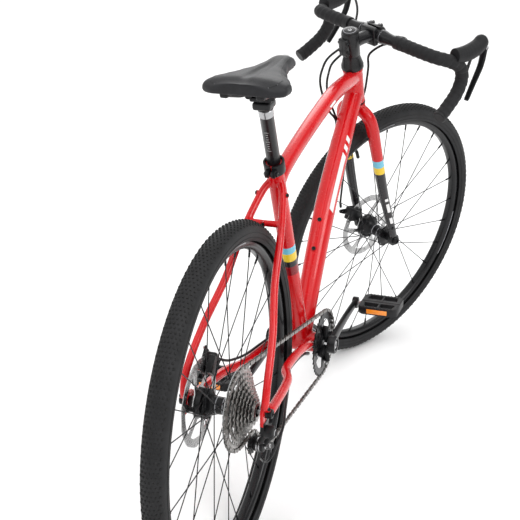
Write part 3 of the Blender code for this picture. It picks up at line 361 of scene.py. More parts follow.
class Piece:
    """One visible piece, gathered from several shapes and materials, which rides on a CAD body."""

    def __init__(self, name):
        self.name = name
        self.verts = []
        self.faces = []
        self.slots = []
        self.materials = []

    def add(self, verts, faces, material, place=None):
        base = len(self.verts)
        if place is not None:
            verts = [place @ Vector(v) for v in verts]
        self.verts += [tuple(v) for v in verts]
        if material not in self.materials:
            self.materials.append(material)
        index = self.materials.index(material)
        self.faces += [tuple(base + i for i in face) for face in faces]
        self.slots += [index] * len(faces)

    def sweep(self, points, radius, material, place=None, sides=16, flat=1.0, caps=True):
        """A tube along points; radius is a number or a function of (share, distance, angle)."""
        points = [Vector(p) for p in points]
        lengths = distances(points)
        verts, faces = [], []
        for k, (point, normal, binormal) in enumerate(frames_along(points)):
            for j in range(sides):
                angle = 2 * math.pi * j / sides
                r = radius(lengths[k] / lengths[-1], lengths[k], angle) if callable(radius) else radius
                verts.append(point + normal * (r * math.cos(angle)) + binormal * (r * flat * math.sin(angle)))
        for k in range(len(points) - 1):
            for j in range(sides):
                n = (j + 1) % sides
                faces.append((k * sides + j, k * sides + n, (k + 1) * sides + n, (k + 1) * sides + j))
        if caps:
            faces.append(tuple(range(sides))[::-1])
            faces.append(tuple((len(points) - 1) * sides + j for j in range(sides)))
        self.add(verts, faces, material, place)

    def turned(self, profile, material, place=None, steps=32, ring=False):
        """(radius, height) points turned about Z."""
        verts, faces, rows = [], [], []
        for r, h in profile:
            if r < 1e-7:
                rows.append([len(verts)] * steps)
                verts.append((0.0, 0.0, h))
            else:
                rows.append(list(range(len(verts), len(verts) + steps)))
                verts += [(r * math.cos(2 * math.pi * k / steps), r * math.sin(2 * math.pi * k / steps), h)
                          for k in range(steps)]
        pairs = list(zip(rows, rows[1:]))
        if ring:
            pairs.append((rows[-1], rows[0]))
        for low, high in pairs:
            for k in range(steps):
                n = (k + 1) % steps
                face = []
                for i in (low[k], low[n], high[n], high[k]):
                    if i not in face:
                        face.append(i)
                if len(face) > 2:
                    faces.append(tuple(face))
        self.add(verts, faces, material, place)

    def plate(self, outlines, low, high, material, place=None, bevel=0.0):
        """A flat piece in X-Y from closed outlines, with holes, between two heights."""
        data = bpy.data.curves.new("outline", "CURVE")
        data.dimensions = "2D"
        data.fill_mode = "BOTH"
        data.extrude = max(1e-5, (high - low) / 2 - bevel)
        data.bevel_depth = bevel
        data.bevel_resolution = 1
        data.offset = -bevel
        for outline in outlines:
            spline = data.splines.new("POLY")
            spline.use_cyclic_u = True
            spline.points.add(len(outline) - 1)
            for i, (x, y) in enumerate(outline):
                spline.points[i].co = (x, y, 0.0, 1.0)
        obj = bpy.data.objects.new("outline", data)
        bpy.context.scene.collection.objects.link(obj)
        bpy.context.view_layer.update()
        mesh = bpy.data.meshes.new_from_object(obj.evaluated_get(bpy.context.evaluated_depsgraph_get()))
        middle = (low + high) / 2
        verts = [(v.co.x, v.co.y, v.co.z + middle) for v in mesh.vertices]
        faces = [tuple(p.vertices) for p in mesh.polygons]
        bpy.data.objects.remove(obj, do_unlink=True)
        bpy.data.meshes.remove(mesh)
        bpy.data.curves.remove(data)
        self.add(verts, faces, material, place)

    def block(self, size, material, place=None, bevel=0.001, segments=2):
        """A block with rounded edges."""
        shape = bmesh.new()
        bmesh.ops.create_cube(shape, size=1.0)
        bmesh.ops.scale(shape, vec=size, verts=shape.verts)
        bmesh.ops.bevel(shape, geom=shape.edges[:], offset=bevel, segments=segments, affect="EDGES",
                        profile=0.5)
        shape.verts.index_update()
        verts = [v.co.copy() for v in shape.verts]
        faces = [tuple(v.index for v in f.verts) for f in shape.faces]
        shape.free()
        self.add(verts, faces, material, place)

    def bolt(self, place, radius, height, material, steps=24):
        """A socket-head bolt that stands on the place's own X-Y plane."""
        socket = radius * 0.52
        self.turned([(radius, 0.0), (radius, height * 0.8), (radius * 0.86, height), (socket * 1.1, height)],
                    material,
                    place, steps)
        verts, faces = [], []
        for r, h in ((socket * 1.1, height), (socket, height * 0.96), (socket, height * 0.35),
                     (0.0, height * 0.3)):
            for k in range(steps):
                angle = 2 * math.pi * k / steps
                wall = angle % (math.pi / 3) - math.pi / 6
                six = r if h == height else r * math.cos(math.pi / 6) / math.cos(wall)
                verts.append((six * math.cos(angle), six * math.sin(angle), h))
        for row in range(3):
            for k in range(steps):
                n = (k + 1) % steps
                faces.append((row * steps + k, row * steps + n, (row + 1) * steps + n, (row + 1) * steps + k))
        self.add(verts, faces, material, place)

    def done(self, body=None, nodes=(), slot=None, angle=38):
        mesh = bpy.data.meshes.new(self.name)
        mesh.from_pydata(self.verts, [], self.faces)
        for material in self.materials:
            mesh.materials.append(material)
        mesh.polygons.foreach_set("material_index", self.slots)
        shape = bmesh.new()
        shape.from_mesh(mesh)
        bmesh.ops.remove_doubles(shape, verts=shape.verts, dist=0.00001)
        bmesh.ops.recalc_face_normals(shape, faces=shape.faces)
        shape.to_mesh(mesh)
        shape.free()
        mesh.shade_smooth()
        mesh.set_sharp_from_angle(angle=math.radians(angle))
        obj = bpy.data.objects.new(self.name, mesh)
        bpy.context.scene.collection.objects.link(obj)
        if body:
            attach(obj, body)
        if nodes:
            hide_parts(*nodes)
        return obj


def facing(origin, axis, hint=(0, 0, 1)):
    """A place at origin whose Z points along axis."""
    z = Vector(axis).normalized()
    x = Vector(hint) - z * Vector(hint).dot(z)
    if x.length < 1e-4:
        x = Vector((1, 0, 0)) - z * z.x
    x.normalize()
    made = Matrix((x, z.cross(x), z)).transposed().to_4x4()
    made.translation = Vector(origin)
    return made


def shift(x, y, z):
    return Matrix.Translation((x, y, z))


def turn(degrees, axis):
    return Matrix.Rotation(math.radians(degrees), 4, axis)


floor = Piece("floor")
floor.plate([[(-30, -30), (30, -30), (30, 30), (-30, 30)]], -0.002, 0.0, FLOOR)
floor.done()


# ---- frame: tubes welded into one skin ----
TOP_TUBE = [(-0.2231, 0.6461), (-0.1711, 0.6702), (-0.0442, 0.7009), (0.1000, 0.7279), (0.1856, 0.7365),
            (0.3000, 0.7370)]
DOWN_TUBE = [(0.3120, 0.6958), (0.2490, 0.6423), (0.1135, 0.5144), (0.0115, 0.3827), (-0.0538, 0.2788)]
STAY = [(-0.5010, 0.0712, 0.3330), (-0.5040, 0.0745, 0.3470), (-0.4873, 0.0736, 0.3846),
        (-0.4350, 0.0644, 0.4423), (-0.3705, 0.0462, 0.5096), (-0.3085, 0.0361, 0.5769),
        (-0.2503, 0.0207, 0.6346), (-0.2269, 0.0077, 0.6557)]
CHAINSTAY = [(-0.0538, 0.0144, 0.2606), (-0.0962, 0.0300, 0.2750), (-0.1500, 0.0345, 0.2920),
             (-0.2095, 0.0360, 0.3020), (-0.2900, 0.0420, 0.3090), (-0.3450, 0.0620, 0.3120),
             (-0.4630, 0.0735, 0.3190), (-0.4780, 0.0712, 0.3215)]
DROPOUT = [(-0.0173, -0.0192), (0.0115, -0.0202), (0.0270, -0.0115), (0.0290, 0.0000), (0.0154, 0.0154),
           (0.0000, 0.0192), (-0.0096, 0.0192), (-0.0192, 0.0058)]


def top_radius(share, run, angle):
    return 0.0163 * (0.92 + 0.16 * share)


def down_radius(share, run, angle):
    return 0.0216 * (0.95 + 0.1 * math.sin(math.pi * share))


top_path = smooth_path([(x, 0.0, z) for x, z in TOP_TUBE], 8)
down_path = smooth_path([(x, 0.0, z) for x, z in DOWN_TUBE], 10)


def weld(skin_object, voxel):
    """Joins overlapping tubes into one skin and softens the joints into weld fillets."""
    remesh = skin_object.modifiers.new("weld", "REMESH")
    remesh.mode = "VOXEL"
    remesh.voxel_size = voxel
    remesh.use_smooth_shade = True
    relax = skin_object.modifiers.new("fillets", "SMOOTH")
    relax.factor = 0.5
    relax.iterations = 8


def closed_tube(piece, outer, low, high, place):
    piece.turned([(0.0, low), (outer, low), (outer, high), (0.0, high)], PAINT, place, 48)


skin = Piece("frame_skin")
closed_tube(skin, 0.0216, 0.3925, 0.4768, HEAD)
closed_tube(skin, 0.0159, 0.0, 0.4700, SEAT)
closed_tube(skin, 0.0207, -0.0320, 0.0320, shift(*BB) @ ALONG_Y)
closed_tube(skin, 0.0228, 0.3925, 0.3980, HEAD)
closed_tube(skin, 0.0228, 0.4710, 0.4768, HEAD)
skin.sweep(top_path, top_radius, PAINT, sides=32)
skin.sweep(down_path, down_radius, PAINT, sides=32)
for sign in (1, -1):
    stay_path = smooth_path([(x, sign * y, z) for x, y, z in STAY], 8)
    skin.sweep(stay_path, 0.0072, PAINT, sides=20)
    skin.sweep(smooth_path([(x, sign * y, z) for x, y, z in CHAINSTAY], 8), 0.0087, PAINT, sides=20)
skin.sweep([(-0.2923, -0.0330 + 0.0066 * k, 0.5932) for k in range(11)], 0.0062, PAINT, sides=20)
welded = skin.done("frame", ("head_tube", "seat_tube", "bb_shell", "top_tube", "down_tube", "seatstay_left",
                             "seatstay_right", "chainstay_left", "chainstay_right", "stay_bridge"), angle=180)
weld(welded, 0.0019)

ends = Piece("dropouts")
for side, sign in (("left", 1), ("right", -1)):
    tab = list(DROPOUT)
    middle = 0.0675 + 0.0034
    place = Matrix.Translation(REAR_AXLE + Vector((0, sign * middle, 0))) @ SIDE
    ends.plate([tab, circle(0.0060, 24)], -0.0029, 0.0029, PAINT, place, 0.0008)
    if sign < 0:
        tail = [(-0.0175, -0.0130), (-0.0135, -0.0385), (0.0058, -0.0385), (0.0125, -0.0130)]
        ends.plate([tail, circle(0.0050, 20, (-0.0040, -0.0300))], -0.0036, 0.0036, ANODISED, place, 0.0010)
ends.done("frame", ("dropout_left", "dropout_right"))

fittings = Piece("frame_fittings")
DOWN_SLOPE = Vector((0.1020, 0.0, 0.1317)).normalized()
DOWN_NORMAL = Vector((-DOWN_SLOPE.z, 0.0, DOWN_SLOPE.x))
for k in (-0.5, 0.5):
    foot = Vector((0.0600, 0.0, 0.4465)) + DOWN_SLOPE * (0.064 * k) + DOWN_NORMAL * 0.0170
    place = facing(foot, DOWN_NORMAL)
    fittings.turned([(0.0, 0.0), (0.0078, 0.0), (0.0066, 0.0045), (0.0058, 0.0072), (0.0, 0.0072)], PAINT,
                    place, 28)
    fittings.bolt(place @ shift(0, 0, 0.0072), 0.0042, 0.0026, ANODISED)
for k in (0.155, 0.300):
    foot = BB + SEAT_UP * k + Vector((math.sin(SEAT_ANGLE), 0, math.cos(SEAT_ANGLE))) * 0.0135
    place = facing(foot, (math.sin(SEAT_ANGLE), 0, math.cos(SEAT_ANGLE)))
    fittings.turned([(0.0, 0.0), (0.0072, 0.0), (0.0060, 0.0045), (0.0, 0.0045)], PAINT, place, 28)
    fittings.bolt(place @ shift(0, 0, 0.0045), 0.0042, 0.0026, ANODISED)
for sign in (1, -1):
    upper = smooth_path([(x, sign * y, z) for x, y, z in STAY], 8)
    for share in (0.87, 0.05):
        point = upper[int(share * (len(upper) - 1))]
        place = facing(point + Vector((0, sign * 0.0058, 0.0)), (-0.45, sign * 0.80, 0.40))
        fittings.turned([(0.0, -0.002), (0.0052, -0.002), (0.0046, 0.0040), (0.0, 0.0040)], PAINT, place, 24)
        fittings.bolt(place @ shift(0, 0, 0.0040), 0.0034, 0.0014, SATIN)
bridge_place = facing((-0.2985, 0.0, 0.5932), (-1, 0, 0.1))
fittings.turned([(0.0, -0.002), (0.0055, -0.002), (0.0050, 0.0020), (0.0, 0.0020)], PAINT, bridge_place, 24)
fittings.bolt(bridge_place @ shift(0, 0, 0.0020), 0.0032, 0.0016, SATIN)
for sign in (1, -1):
    end = shift(*BB) @ ALONG_Y @ shift(0, 0, sign * 0.0320)
    low, high = (0.0, 0.0050) if sign > 0 else (-0.0050, 0.0)
    fittings.turned([(0.0125, low), (0.0218, low), (0.0212, high), (0.0125, high)], ANODISED, end, 40,
                    ring=True)
fittings.done("frame")

graphics = Piece("frame_graphics")


def patch(path, radius, start, stop, low, high, slant, material, lift=0.00035, rows=40, columns=12):
    """A thin printed patch on the tube; low and high are angles in degrees from the tube's normal."""
    lengths = distances(path)
    frames = frames_along(path)

    def at(distance):
        distance = min(max(distance, 0.0), lengths[-1] - 1e-6)
        k = max(i for i, run in enumerate(lengths) if run <= distance)
        t = (distance - lengths[k]) / (lengths[k + 1] - lengths[k])
        return [frames[k][i].lerp(frames[k + 1][i], t) for i in range(3)], distance / lengths[-1]

    verts, faces = [], []
    for i in range(rows + 1):
        for j in range(columns + 1):
            across = j / columns
            (point, normal, binormal), share = at(start + (stop - start) * i / rows + slant * across)
            angle = math.radians(low + (high - low) * across)
            r = radius(share, 0, 0) + lift
            verts.append(point + normal * (r * math.cos(angle)) + binormal * (r * math.sin(angle)))
    for i in range(rows):
        for j in range(columns):
            a = i * (columns + 1) + j
            faces.append((a, a + 1, a + columns + 2, a + columns + 1))
    graphics.add(verts, faces, material)


bars = [(0.118, 0.130), (0.140, 0.152), (0.162, 0.296)]
for sign, low_angle, high_angle in ((1, 60, 88), (-1, -40, -68)):
    for start, stop in bars:
        patch(down_path, down_radius, start, stop, low_angle, high_angle, 0.006, WHITE, rows=16)
    patch(top_path, top_radius, 0.300, 0.335, sign * 74, sign * 96, 0.008, WHITE, rows=10)
graphics.done("frame")

# ---- seat collar and seatpost ----
collar = Piece("seat_collar_clamp")
gap_angle = 0.09
ring = (circle(0.0197, 56, start=math.pi + gap_angle, sweep=2 * math.pi - 2 * gap_angle)
        + circle(0.0161, 48, start=math.pi - gap_angle, sweep=-(2 * math.pi - 2 * gap_angle)))
collar.plate([ring], 0.4500, 0.4735, ANODISED, SEAT, 0.0008)
for sign in (1, -1):
    collar.block((0.0130, 0.0085, 0.0120), ANODISED, SEAT @ shift(-0.0236, sign * 0.0060, 0.4617), 0.0016)
collar.bolt(SEAT @ shift(-0.0245, -0.0102, 0.4617) @ turn(90, "X"), 0.0046, 0.0045, ANODISED)
collar.turned([(0.0, 0.0), (0.0042, 0.0), (0.0036, 0.0020), (0.0, 0.0020)], STEEL,
              SEAT @ shift(-0.0245, 0.0102, 0.4617) @ turn(-90, "X"))
collar.done("frame", ("seat_collar",))

post = Piece("seatpost_tube")
POST_TOP = 0.5932
post.turned([(0.0, 0.2884), (0.0119, 0.2884), (0.0127, 0.2892), (0.0127, 0.5730), (0.0131, 0.5738),
             (0.0131, 0.5744)],
            SATIN, SEAT, 48)
post.turned([(0.0131, 0.5744), (0.0136, 0.5750), (0.0136, 0.5885), (0.0131, 0.5891)], STEEL, SEAT, 48)
post.turned([(0.0131, 0.5891), (0.0150, 0.5908), (0.0150, 0.5950), (0.0, 0.5960)], SATIN, SEAT, 48)
for k in range(9):
    low = 0.505 + 0.005 * k
    mark = Matrix.Translation((0, 0, low)) @ turn(180, "Z")
    post.block((0.0003, 0.0045 if k % 4 else 0.0075, 0.0005), WHITE, SEAT @ mark @ shift(0.0127, 0, 0),
               0.0001, 1)
CLAMP = BB + SEAT_UP * (POST_TOP + 0.0154)
head_place = Matrix.Translation(CLAMP) @ turn(-4, "Y")
post.block((0.0380, 0.0330, 0.0150), SATIN, head_place @ shift(0, 0, -0.0090), 0.0050, 4)
post.block((0.0420, 0.0400, 0.0090), ANODISED, head_place @ shift(0, 0, 0.0040), 0.0030, 3)
for sign in (1, -1):
    post.sweep([(-0.0225, sign * 0.0212, 0.0105), (0.0, sign * 0.0212, 0.0115),
                (0.0225, sign * 0.0212, 0.0105)],
               0.0062, ANODISED, head_place, 20)
    post.bolt(head_place @ shift(0, sign * 0.0268, 0.0110) @ turn(-90 * sign, "X"), 0.0066, 0.0040, STEEL)
post.block((0.0400, 0.0490, 0.0080), ANODISED, head_place @ shift(0, 0, 0.0235), 0.0028, 3)
post.sweep([(0, -0.0300, 0.0150), (0, 0.0300, 0.0150)], 0.0036, STEEL, head_place, 18)
post.done("seatpost", ("seatpost", "saddle_clamp"))

rails_piece = Piece("saddle_rail_wires")
RAIL = [(0.0890, 0.0096, 0.0270), (0.0601, 0.0192, 0.0215), (0.0300, 0.0212, 0.0150),
        (-0.0400, 0.0212, 0.0150), (-0.0800, 0.0288, 0.0220), (-0.1000, 0.0317, 0.0270)]
half_rail = smooth_path([CLAMP + Vector(p) for p in RAIL], 6)
nose_turn = [CLAMP + Vector((0.0928, 0.0038, 0.0280)), CLAMP + Vector((0.0928, -0.0038, 0.0280))]
rails_piece.sweep(half_rail[::-1] + nose_turn + [Vector((p.x, -p.y, p.z)) for p in half_rail], 0.0035,
                  ANODISED,
                  sides=18)
for sign in (1, -1):
    socket = CLAMP + Vector((-0.1000, sign * 0.0317, 0.0290))
    rails_piece.block((0.0260, 0.0150, 0.0110), PLASTIC, Matrix.Translation(socket), 0.0035, 3)
rails_piece.block((0.0200, 0.0260, 0.0100), PLASTIC, Matrix.Translation(CLAMP + Vector((0.0910, 0, 0.0300))),
                  0.0035, 3)
rails_piece.done("seatpost", ("saddle_rails",))

# ---- saddle ----
SADDLE = Vector((-0.2960, 0.0, 0.8655))
WIDTHS = [(-0.1173, 0.0300), (-0.1140, 0.0600), (-0.1000, 0.0760), (-0.0770, 0.0770), (-0.0480, 0.0650),
          (-0.0144, 0.0471), (0.0288, 0.0298), (0.0769, 0.0212), (0.1250, 0.0183), (0.1404, 0.0125)]


def between(table, x):
    for (x0, y0), (x1, y1) in zip(table, table[1:]):
        if x <= x1:
            t = min(max((x - x0) / (x1 - x0), 0.0), 1.0)
            t = t * t * (3 - 2 * t)
            return y0 + (y1 - y0) * t
    return table[-1][1]


TOP_LINE = [(-0.1173, 0.0060), (-0.0900, 0.0130), (-0.0300, 0.0110), (0.0400, 0.0100), (0.1000, 0.0120),
            (0.1404, 0.0020)]
stations = [(-0.1200, 0.0270), (-0.1188, 0.0420), (-0.1165, 0.0540)]
stations += [(-0.1120 + 0.0060 * k, None) for k in range(42)]
stations += [(0.1405, 0.0125), (0.1425, 0.0080)]


def saddle_section(x, width, count=36):
    """One cross-section of the cushion: top from right to left, then the folded skirt and the base."""
    crown = between(TOP_LINE, x)
    wing = min(max((width - 0.020) / 0.057, 0.0), 1.0)
    channel = 0.0050 * math.exp(-((x + 0.015) / 0.085) ** 4)
    out = []
    for k in range(count + 1):
        s = 1.0 - 2.0 * k / count
        across = abs(s)
        top = crown - (0.0080 + 0.0020 * wing) * across ** 3.2 - 0.0030 * wing * across ** 2
        top -= channel * math.exp(-(s * width / 0.0085) ** 4)
        out.append((x, s * width * (1.0 - 0.04 * across ** 8), top))
    skirt = -0.0118 - 0.0050 * wing
    for share in (0.995, 0.96, 0.90, 0.80):
        depth = {0.995: 0.45, 0.96: 0.85, 0.90: 1.0, 0.80: 0.92}[share]
        low = out[count][2] + (skirt - out[count][2]) * depth
        out.append((x, -width * share, low))
    inner = []
    for share in (0.80, 0.90, 0.96, 0.995):
        depth = {0.995: 0.45, 0.96: 0.85, 0.90: 1.0, 0.80: 0.92}[share]
        low = out[0][2] + (skirt - out[0][2]) * depth
        inner.append((x, width * share, low))
    return out + inner


saddle = Piece("saddle_cushion")
rows = []
verts = []
for x, fixed in stations:
    width = fixed if fixed else between(WIDTHS, x)
    rows.append(saddle_section(x, width))
size = len(rows[0])
for row in rows:
    verts += [SADDLE + Vector(p) for p in row]
faces = []
for i in range(len(rows) - 1):
    for j in range(size):
        n = (j + 1) % size
        faces.append((i * size + j, i * size + n, (i + 1) * size + n, (i + 1) * size + j))
faces.append(tuple(range(size))[::-1])
faces.append(tuple((len(rows) - 1) * size + j for j in range(size)))
saddle.add(verts, faces, COVER)
cushion = saddle.done("seatpost", ("saddle",), angle=180)
softer = cushion.modifiers.new("crown", "SUBSURF")
softer.levels = 1
softer.render_levels = 1

trim = Piece("saddle_trim")
for sign in (1, -1):
    seam = []
    for x, fixed in stations[3:-2:2]:
        width = between(WIDTHS, x)
        row = saddle_section(x, width)
        point = row[4] if sign > 0 else row[32]
        seam.append(SADDLE + Vector(point) + Vector((0, 0, 0.0001)))
    trim.sweep(seam, 0.00055, PLASTIC, sides=8)
    for k in range(0, len(seam) * 4 - 4):
        t = k / 4
        point = seam[int(t)].lerp(seam[min(int(t) + 1, len(seam) - 1)], t - int(t))
        ahead = (seam[min(int(t) + 1, len(seam) - 1)] - seam[int(t)]).normalized()
        if ahead.length:
            trim.sweep([point - ahead * 0.0009, point + ahead * 0.0009], 0.0005, GREY, sides=6)
base = [(x * 0.96, y * 0.88) for x, y in WIDTHS]
trim.plate([base + [(x, -y) for x, y in base[::-1]]], -0.0135, -0.0100, PLASTIC, Matrix.Translation(SADDLE),
           0.0010)
badge = [(0.0080, 0.0), (0.0045, 0.0045), (-0.0060, 0.0050), (-0.0060, -0.0050), (0.0045, -0.0045)]
trim.plate([badge], 0.0, 0.0006, WHITE, Matrix.Translation(SADDLE + Vector((0.1270, 0, 0.0072))) @ turn(14,
        "Y"), 0.0001)
trim.done("seatpost")


# ---- wheels ----
def tyre(name, hub, body, node):
    piece = Piece(name)
    center, radius = 0.3025, 0.0218
    foot = math.radians(128)
    outer = []
    for k in range(29):
        a = foot * (k / 14 - 1)
        r = radius - (0.0008 if abs(a) < math.radians(52) else 0.0)
        outer.append((center + r * math.cos(a), -r * math.sin(a)))
    inner = [(center + 0.0185 * math.cos(a),
              -0.0185 * math.sin(a)) for a in (foot * (1 - k / 4) for k in range(9))]
    piece.turned(outer + inner, RUBBER, hub, 144, ring=True)
    for sign in (1, -1):
        for angle, lift in ((86, 0.0001), (108, 0.0002)):
            a = math.radians(angle)
            bead = [(center + (radius + lift) * math.cos(a) + 0.0006 * math.cos(b),
                     sign * ((radius + lift) * math.sin(a)) + 0.0006 * math.sin(b))
                    for b in (2 * math.pi * j / 8 for j in range(8))]
            piece.turned(bead, TREAD, hub, 96, ring=True)
    pitches = 132
    columns = [(0, 0.0032, 0.0026), (9.5, 0.0026, 0.0024), (19, 0.0028, 0.0024), (29, 0.0026, 0.0024),
               (39, 0.0030, 0.0028), (49.5, 0.0034, 0.0036)]
    for k in range(pitches):
        for index, (degrees, long, wide) in enumerate(columns):
            for sign in ((1,) if degrees == 0 else (1, -1)):
                a = math.radians(degrees) * sign
                turn_angle = 2 * math.pi * (k + 0.5 * (index % 2)) / pitches
                place = (hub @ Matrix.Rotation(turn_angle, 4, "Z") @ shift(center, 0, 0)
                         @ Matrix.Rotation(-a, 4, "Y") @ shift(radius - 0.0010, 0, 0))
                skew = 0.0004 * sign * (index % 2)
                low = [(0, -long * 0.62, -wide * 0.62), (0, long * 0.62, -wide * 0.62),
                       (0, long * 0.62, wide * 0.62),
                       (0, -long * 0.62, wide * 0.62)]
                high = [(0.0017, y * 0.74 + (skew if z > 0 else -skew), z * 0.74) for x, y, z in low]
                piece.add(low + high, [(4, 5, 6, 7), (0, 1, 5, 4), (1, 2, 6, 5), (2, 3, 7, 6), (3, 0, 4, 7)],
                          TREAD,
                          place)
    piece.done(body, (node,))


def rim(name, hub, body, node, valve_angle):
    piece = Piece(name)
    section = [(0.2740, 0.0052), (0.2752, 0.0080), (0.2795, 0.0118), (0.2830, 0.0125), (0.2880, 0.0125),
               (0.2890, 0.0118), (0.2890, 0.0102), (0.2870, 0.0096), (0.2830, 0.0094), (0.2822, 0.0050)]
    outline = section + [(r, -h) for r, h in reversed(section)]
    piece.turned(outline, RIM_BLACK, hub, 144, ring=True)
    for sign in (1, -1):
        for k in range(3):
            start = 2 * math.pi * k / 3 + 0.35
            band = [circle(0.2868, 24, start=start, sweep=0.42)
                    + circle(0.2845, 24, start=start + 0.42, sweep=-0.42)]
            low, high = sorted((sign * 0.01245, sign * 0.01265))
            piece.plate(band, low, high, GREY, hub)
    place = hub @ Matrix.Rotation(valve_angle, 4, "Z") @ shift(0.2745, 0, 0) @ turn(-90, "Y")
    piece.turned([(0.0, -0.002), (0.0052, -0.002), (0.0050, 0.0015), (0.0030, 0.0024), (0.0030, 0.0120),
                  (0.0040, 0.0124),
                  (0.0040, 0.0300), (0.0034, 0.0312), (0.0, 0.0315)], PLASTIC, place, 24)
    piece.done(body, (node,))


def hub_piece(name, hub, body, node, left, right, flange_left, flange_right, tube, spokes=28):
    piece = Piece(name)
    t = 0.0020
    yl, yr, rl = flange_left, flange_right, 0.0272
    profile = [(0.0058, left), (0.0092, left), (0.0096, left - 0.0010), (0.0096, yl + 0.0070),
               (0.0150, yl + 0.0045),
               (0.0205, yl + t), (rl - 0.0012, yl + t), (rl, yl + 0.4 * t), (rl, yl - 0.4 * t),
               (rl - 0.0012, yl - t),
               (tube + 0.0045, yl - 0.0050), (tube, yl - 0.0120), (tube, yr + 0.0120),
               (tube + 0.0045, yr + 0.0050),
               (rl - 0.0012, yr + t), (rl, yr + 0.4 * t), (rl, yr - 0.4 * t), (rl - 0.0012, yr - t),
               (0.0205, yr - t),
               (0.0096, yr - 0.0045 if yr - 0.0045 > right else right + 0.0006), (0.0096, right),
               (0.0058, right)]
    piece.turned(profile, ANODISED, hub, 56, ring=True)
    for share in (0.36, 0.64):
        y = yl + (yr - yl) * share
        piece.turned([(tube + 0.0001, y + 0.0010), (tube + 0.0003, y + 0.0008), (tube + 0.0003, y - 0.0008),
                      (tube + 0.0001, y - 0.0010)], GREY, hub, 48)
    for side, height in enumerate((yl, yr)):
        for k in range(spokes // 2):
            rim_angle = 2 * math.pi * (k + 0.5 * side) / (spokes // 2)
            lean = math.radians(62) * (1 if k % 2 else -1)
            offset = 0.0026 if k % 2 else -0.0026
            start = Vector((0.0240 * math.cos(rim_angle + lean), 0.0240 * math.sin(rim_angle + lean),
                            height + offset))
            stop = Vector((0.2745 * math.cos(rim_angle), 0.2745 * math.sin(rim_angle),
                           0.0019 if side == 0 else -0.0019))
            ahead = (stop - start).normalized()
            piece.sweep([start - ahead * 0.001, start.lerp(stop, 0.5), stop], 0.00100, SPOKE, hub, 8)
            piece.sweep([stop - ahead * 0.0140, stop - ahead * 0.0020, stop], 0.00205, SPOKE, hub, 8)
            piece.sweep([Vector((start.x, start.y, height - offset)),
                         Vector((start.x, start.y, height + offset))],
                        0.0014, STEEL, hub, 8)
    return piece.done(body, (node,))


def rotor(name, hub, body, node, height):
    piece = Piece(name)
    loops = []
    wave = [(0.0800 - 0.0011 * (0.5 + 0.5 * math.cos(12 * 2 * math.pi * k / 192))) for k in range(192)]
    loops.append([(r * math.cos(2 * math.pi * k / 192), r * math.sin(2 * math.pi * k / 192))
                  for k, r in enumerate(wave)])
    for k in range(6):
        start = 2 * math.pi * k / 6 + 0.10
        sweep = 2 * math.pi / 6 - 0.20
        twist = 0.30
        loops.append(circle(0.0640, 14, start=start + twist, sweep=sweep)
                     + circle(0.0300, 8, start=start + sweep - 0.06, sweep=-(sweep - 0.12)))
    for k in range(36):
        angle = 2 * math.pi * k / 36
        for shell, shift_angle in ((0.0755, 0.0), (0.0705, 0.05)):
            if (k + (shell < 0.073)) % 3:
                loops.append(circle(0.0017, 10, (shell * math.cos(angle + shift_angle),
                                                 shell * math.sin(angle + shift_angle))))
    loops.append(circle(0.0099, 28))
    piece.plate(loops, height - 0.0009, height + 0.0009, ROTOR_STEEL, hub)
    for k in range(6):
        angle = 2 * math.pi * (k + 0.45) / 6
        place = hub @ shift(0.0220 * math.cos(angle), 0.0220 * math.sin(angle), height + 0.0009)
        piece.bolt(place, 0.0038, 0.0024, ANODISED)
    piece.turned([(0.0099, height - 0.0110), (0.0270, height - 0.0110), (0.0265, height - 0.0011),
                  (0.0099, height - 0.0011)], ANODISED, hub, 40, ring=True)
    piece.done(body, (node,))


for name, hub, body in (("front", FRONT_HUB, "front_wheel"), ("rear", REAR_HUB, "rear_wheel")):
    tyre(name + "_tyre", hub, body, name + "_wheel_tyre")
rim("front_rim", FRONT_HUB, "front_wheel", "front_wheel_rim", math.radians(-100))
rim("rear_rim", REAR_HUB, "rear_wheel", "rear_wheel_rim", math.radians(112))
hub_piece("front_hub", FRONT_HUB, "front_wheel", "front_wheel_hub", 0.0497, -0.0497, 0.0221, -0.0308, 0.0135)
hub_piece("rear_hub", REAR_HUB, "rear_wheel", "rear_wheel_hub", 0.0665, -0.0212, 0.0317, -0.0154, 0.0155)
rotor("front_brake_rotor", FRONT_HUB, "front_wheel", "front_rotor", 0.0356)
rotor("rear_brake_rotor", REAR_HUB, "rear_wheel", "rear_rotor", 0.0500)

guard = Piece("spoke_guard")
guard.plate([circle(0.0760, 96), circle(0.0200, 40)]
            + [circle(0.0060, 16, (0.058 * math.cos(a), 0.058 * math.sin(a))) for a in
               (2 * math.pi * k / 12 for k in range(12))], -0.0232, -0.0220, CLEAR, REAR_HUB, 0.0002)
guard.turned([(0.0752, -0.0218), (0.0766, -0.0220), (0.0768, -0.0228), (0.0766, -0.0236), (0.0752, -0.0238)],
             CLEAR,
             REAR_HUB, 96, ring=True)
guard.done("rear_wheel")

for name, hub, body, half, knob in (("front_axle", FRONT_HUB, "steering", 0.0613, 0.0077),
                                    ("rear_axle", REAR_HUB, "frame", 0.0741, 0.0115)):
    piece = Piece(name + "_bolt")
    piece.turned([(0.0, half + 0.0004), (0.0052, half + 0.0002), (0.0052, -half - 0.0002),
                  (0.0, -half - 0.0004)], STEEL,
                 hub, 32)
    for sign in (1, -1):
        end = hub @ shift(0, 0, sign * half) @ turn(0 if sign > 0 else 180, "X")
        piece.turned([(0.0, 0.0003), (0.0091, 0.0003), (0.0091, 0.0018), (0.0086, 0.0024)], ANODISED, end, 40)
        wall = [(0.0086 - 0.0003 * (k % 2), 0.0024 + (knob - 0.0040) * k / 8) for k in range(9)]
        piece.turned(wall + [(0.0072, knob - 0.0004), (0.0048, knob), (0.0044, knob - 0.0030),
                             (0.0, knob - 0.0032)],
                     ANODISED, end, 40)
    piece.done(body, (name,))


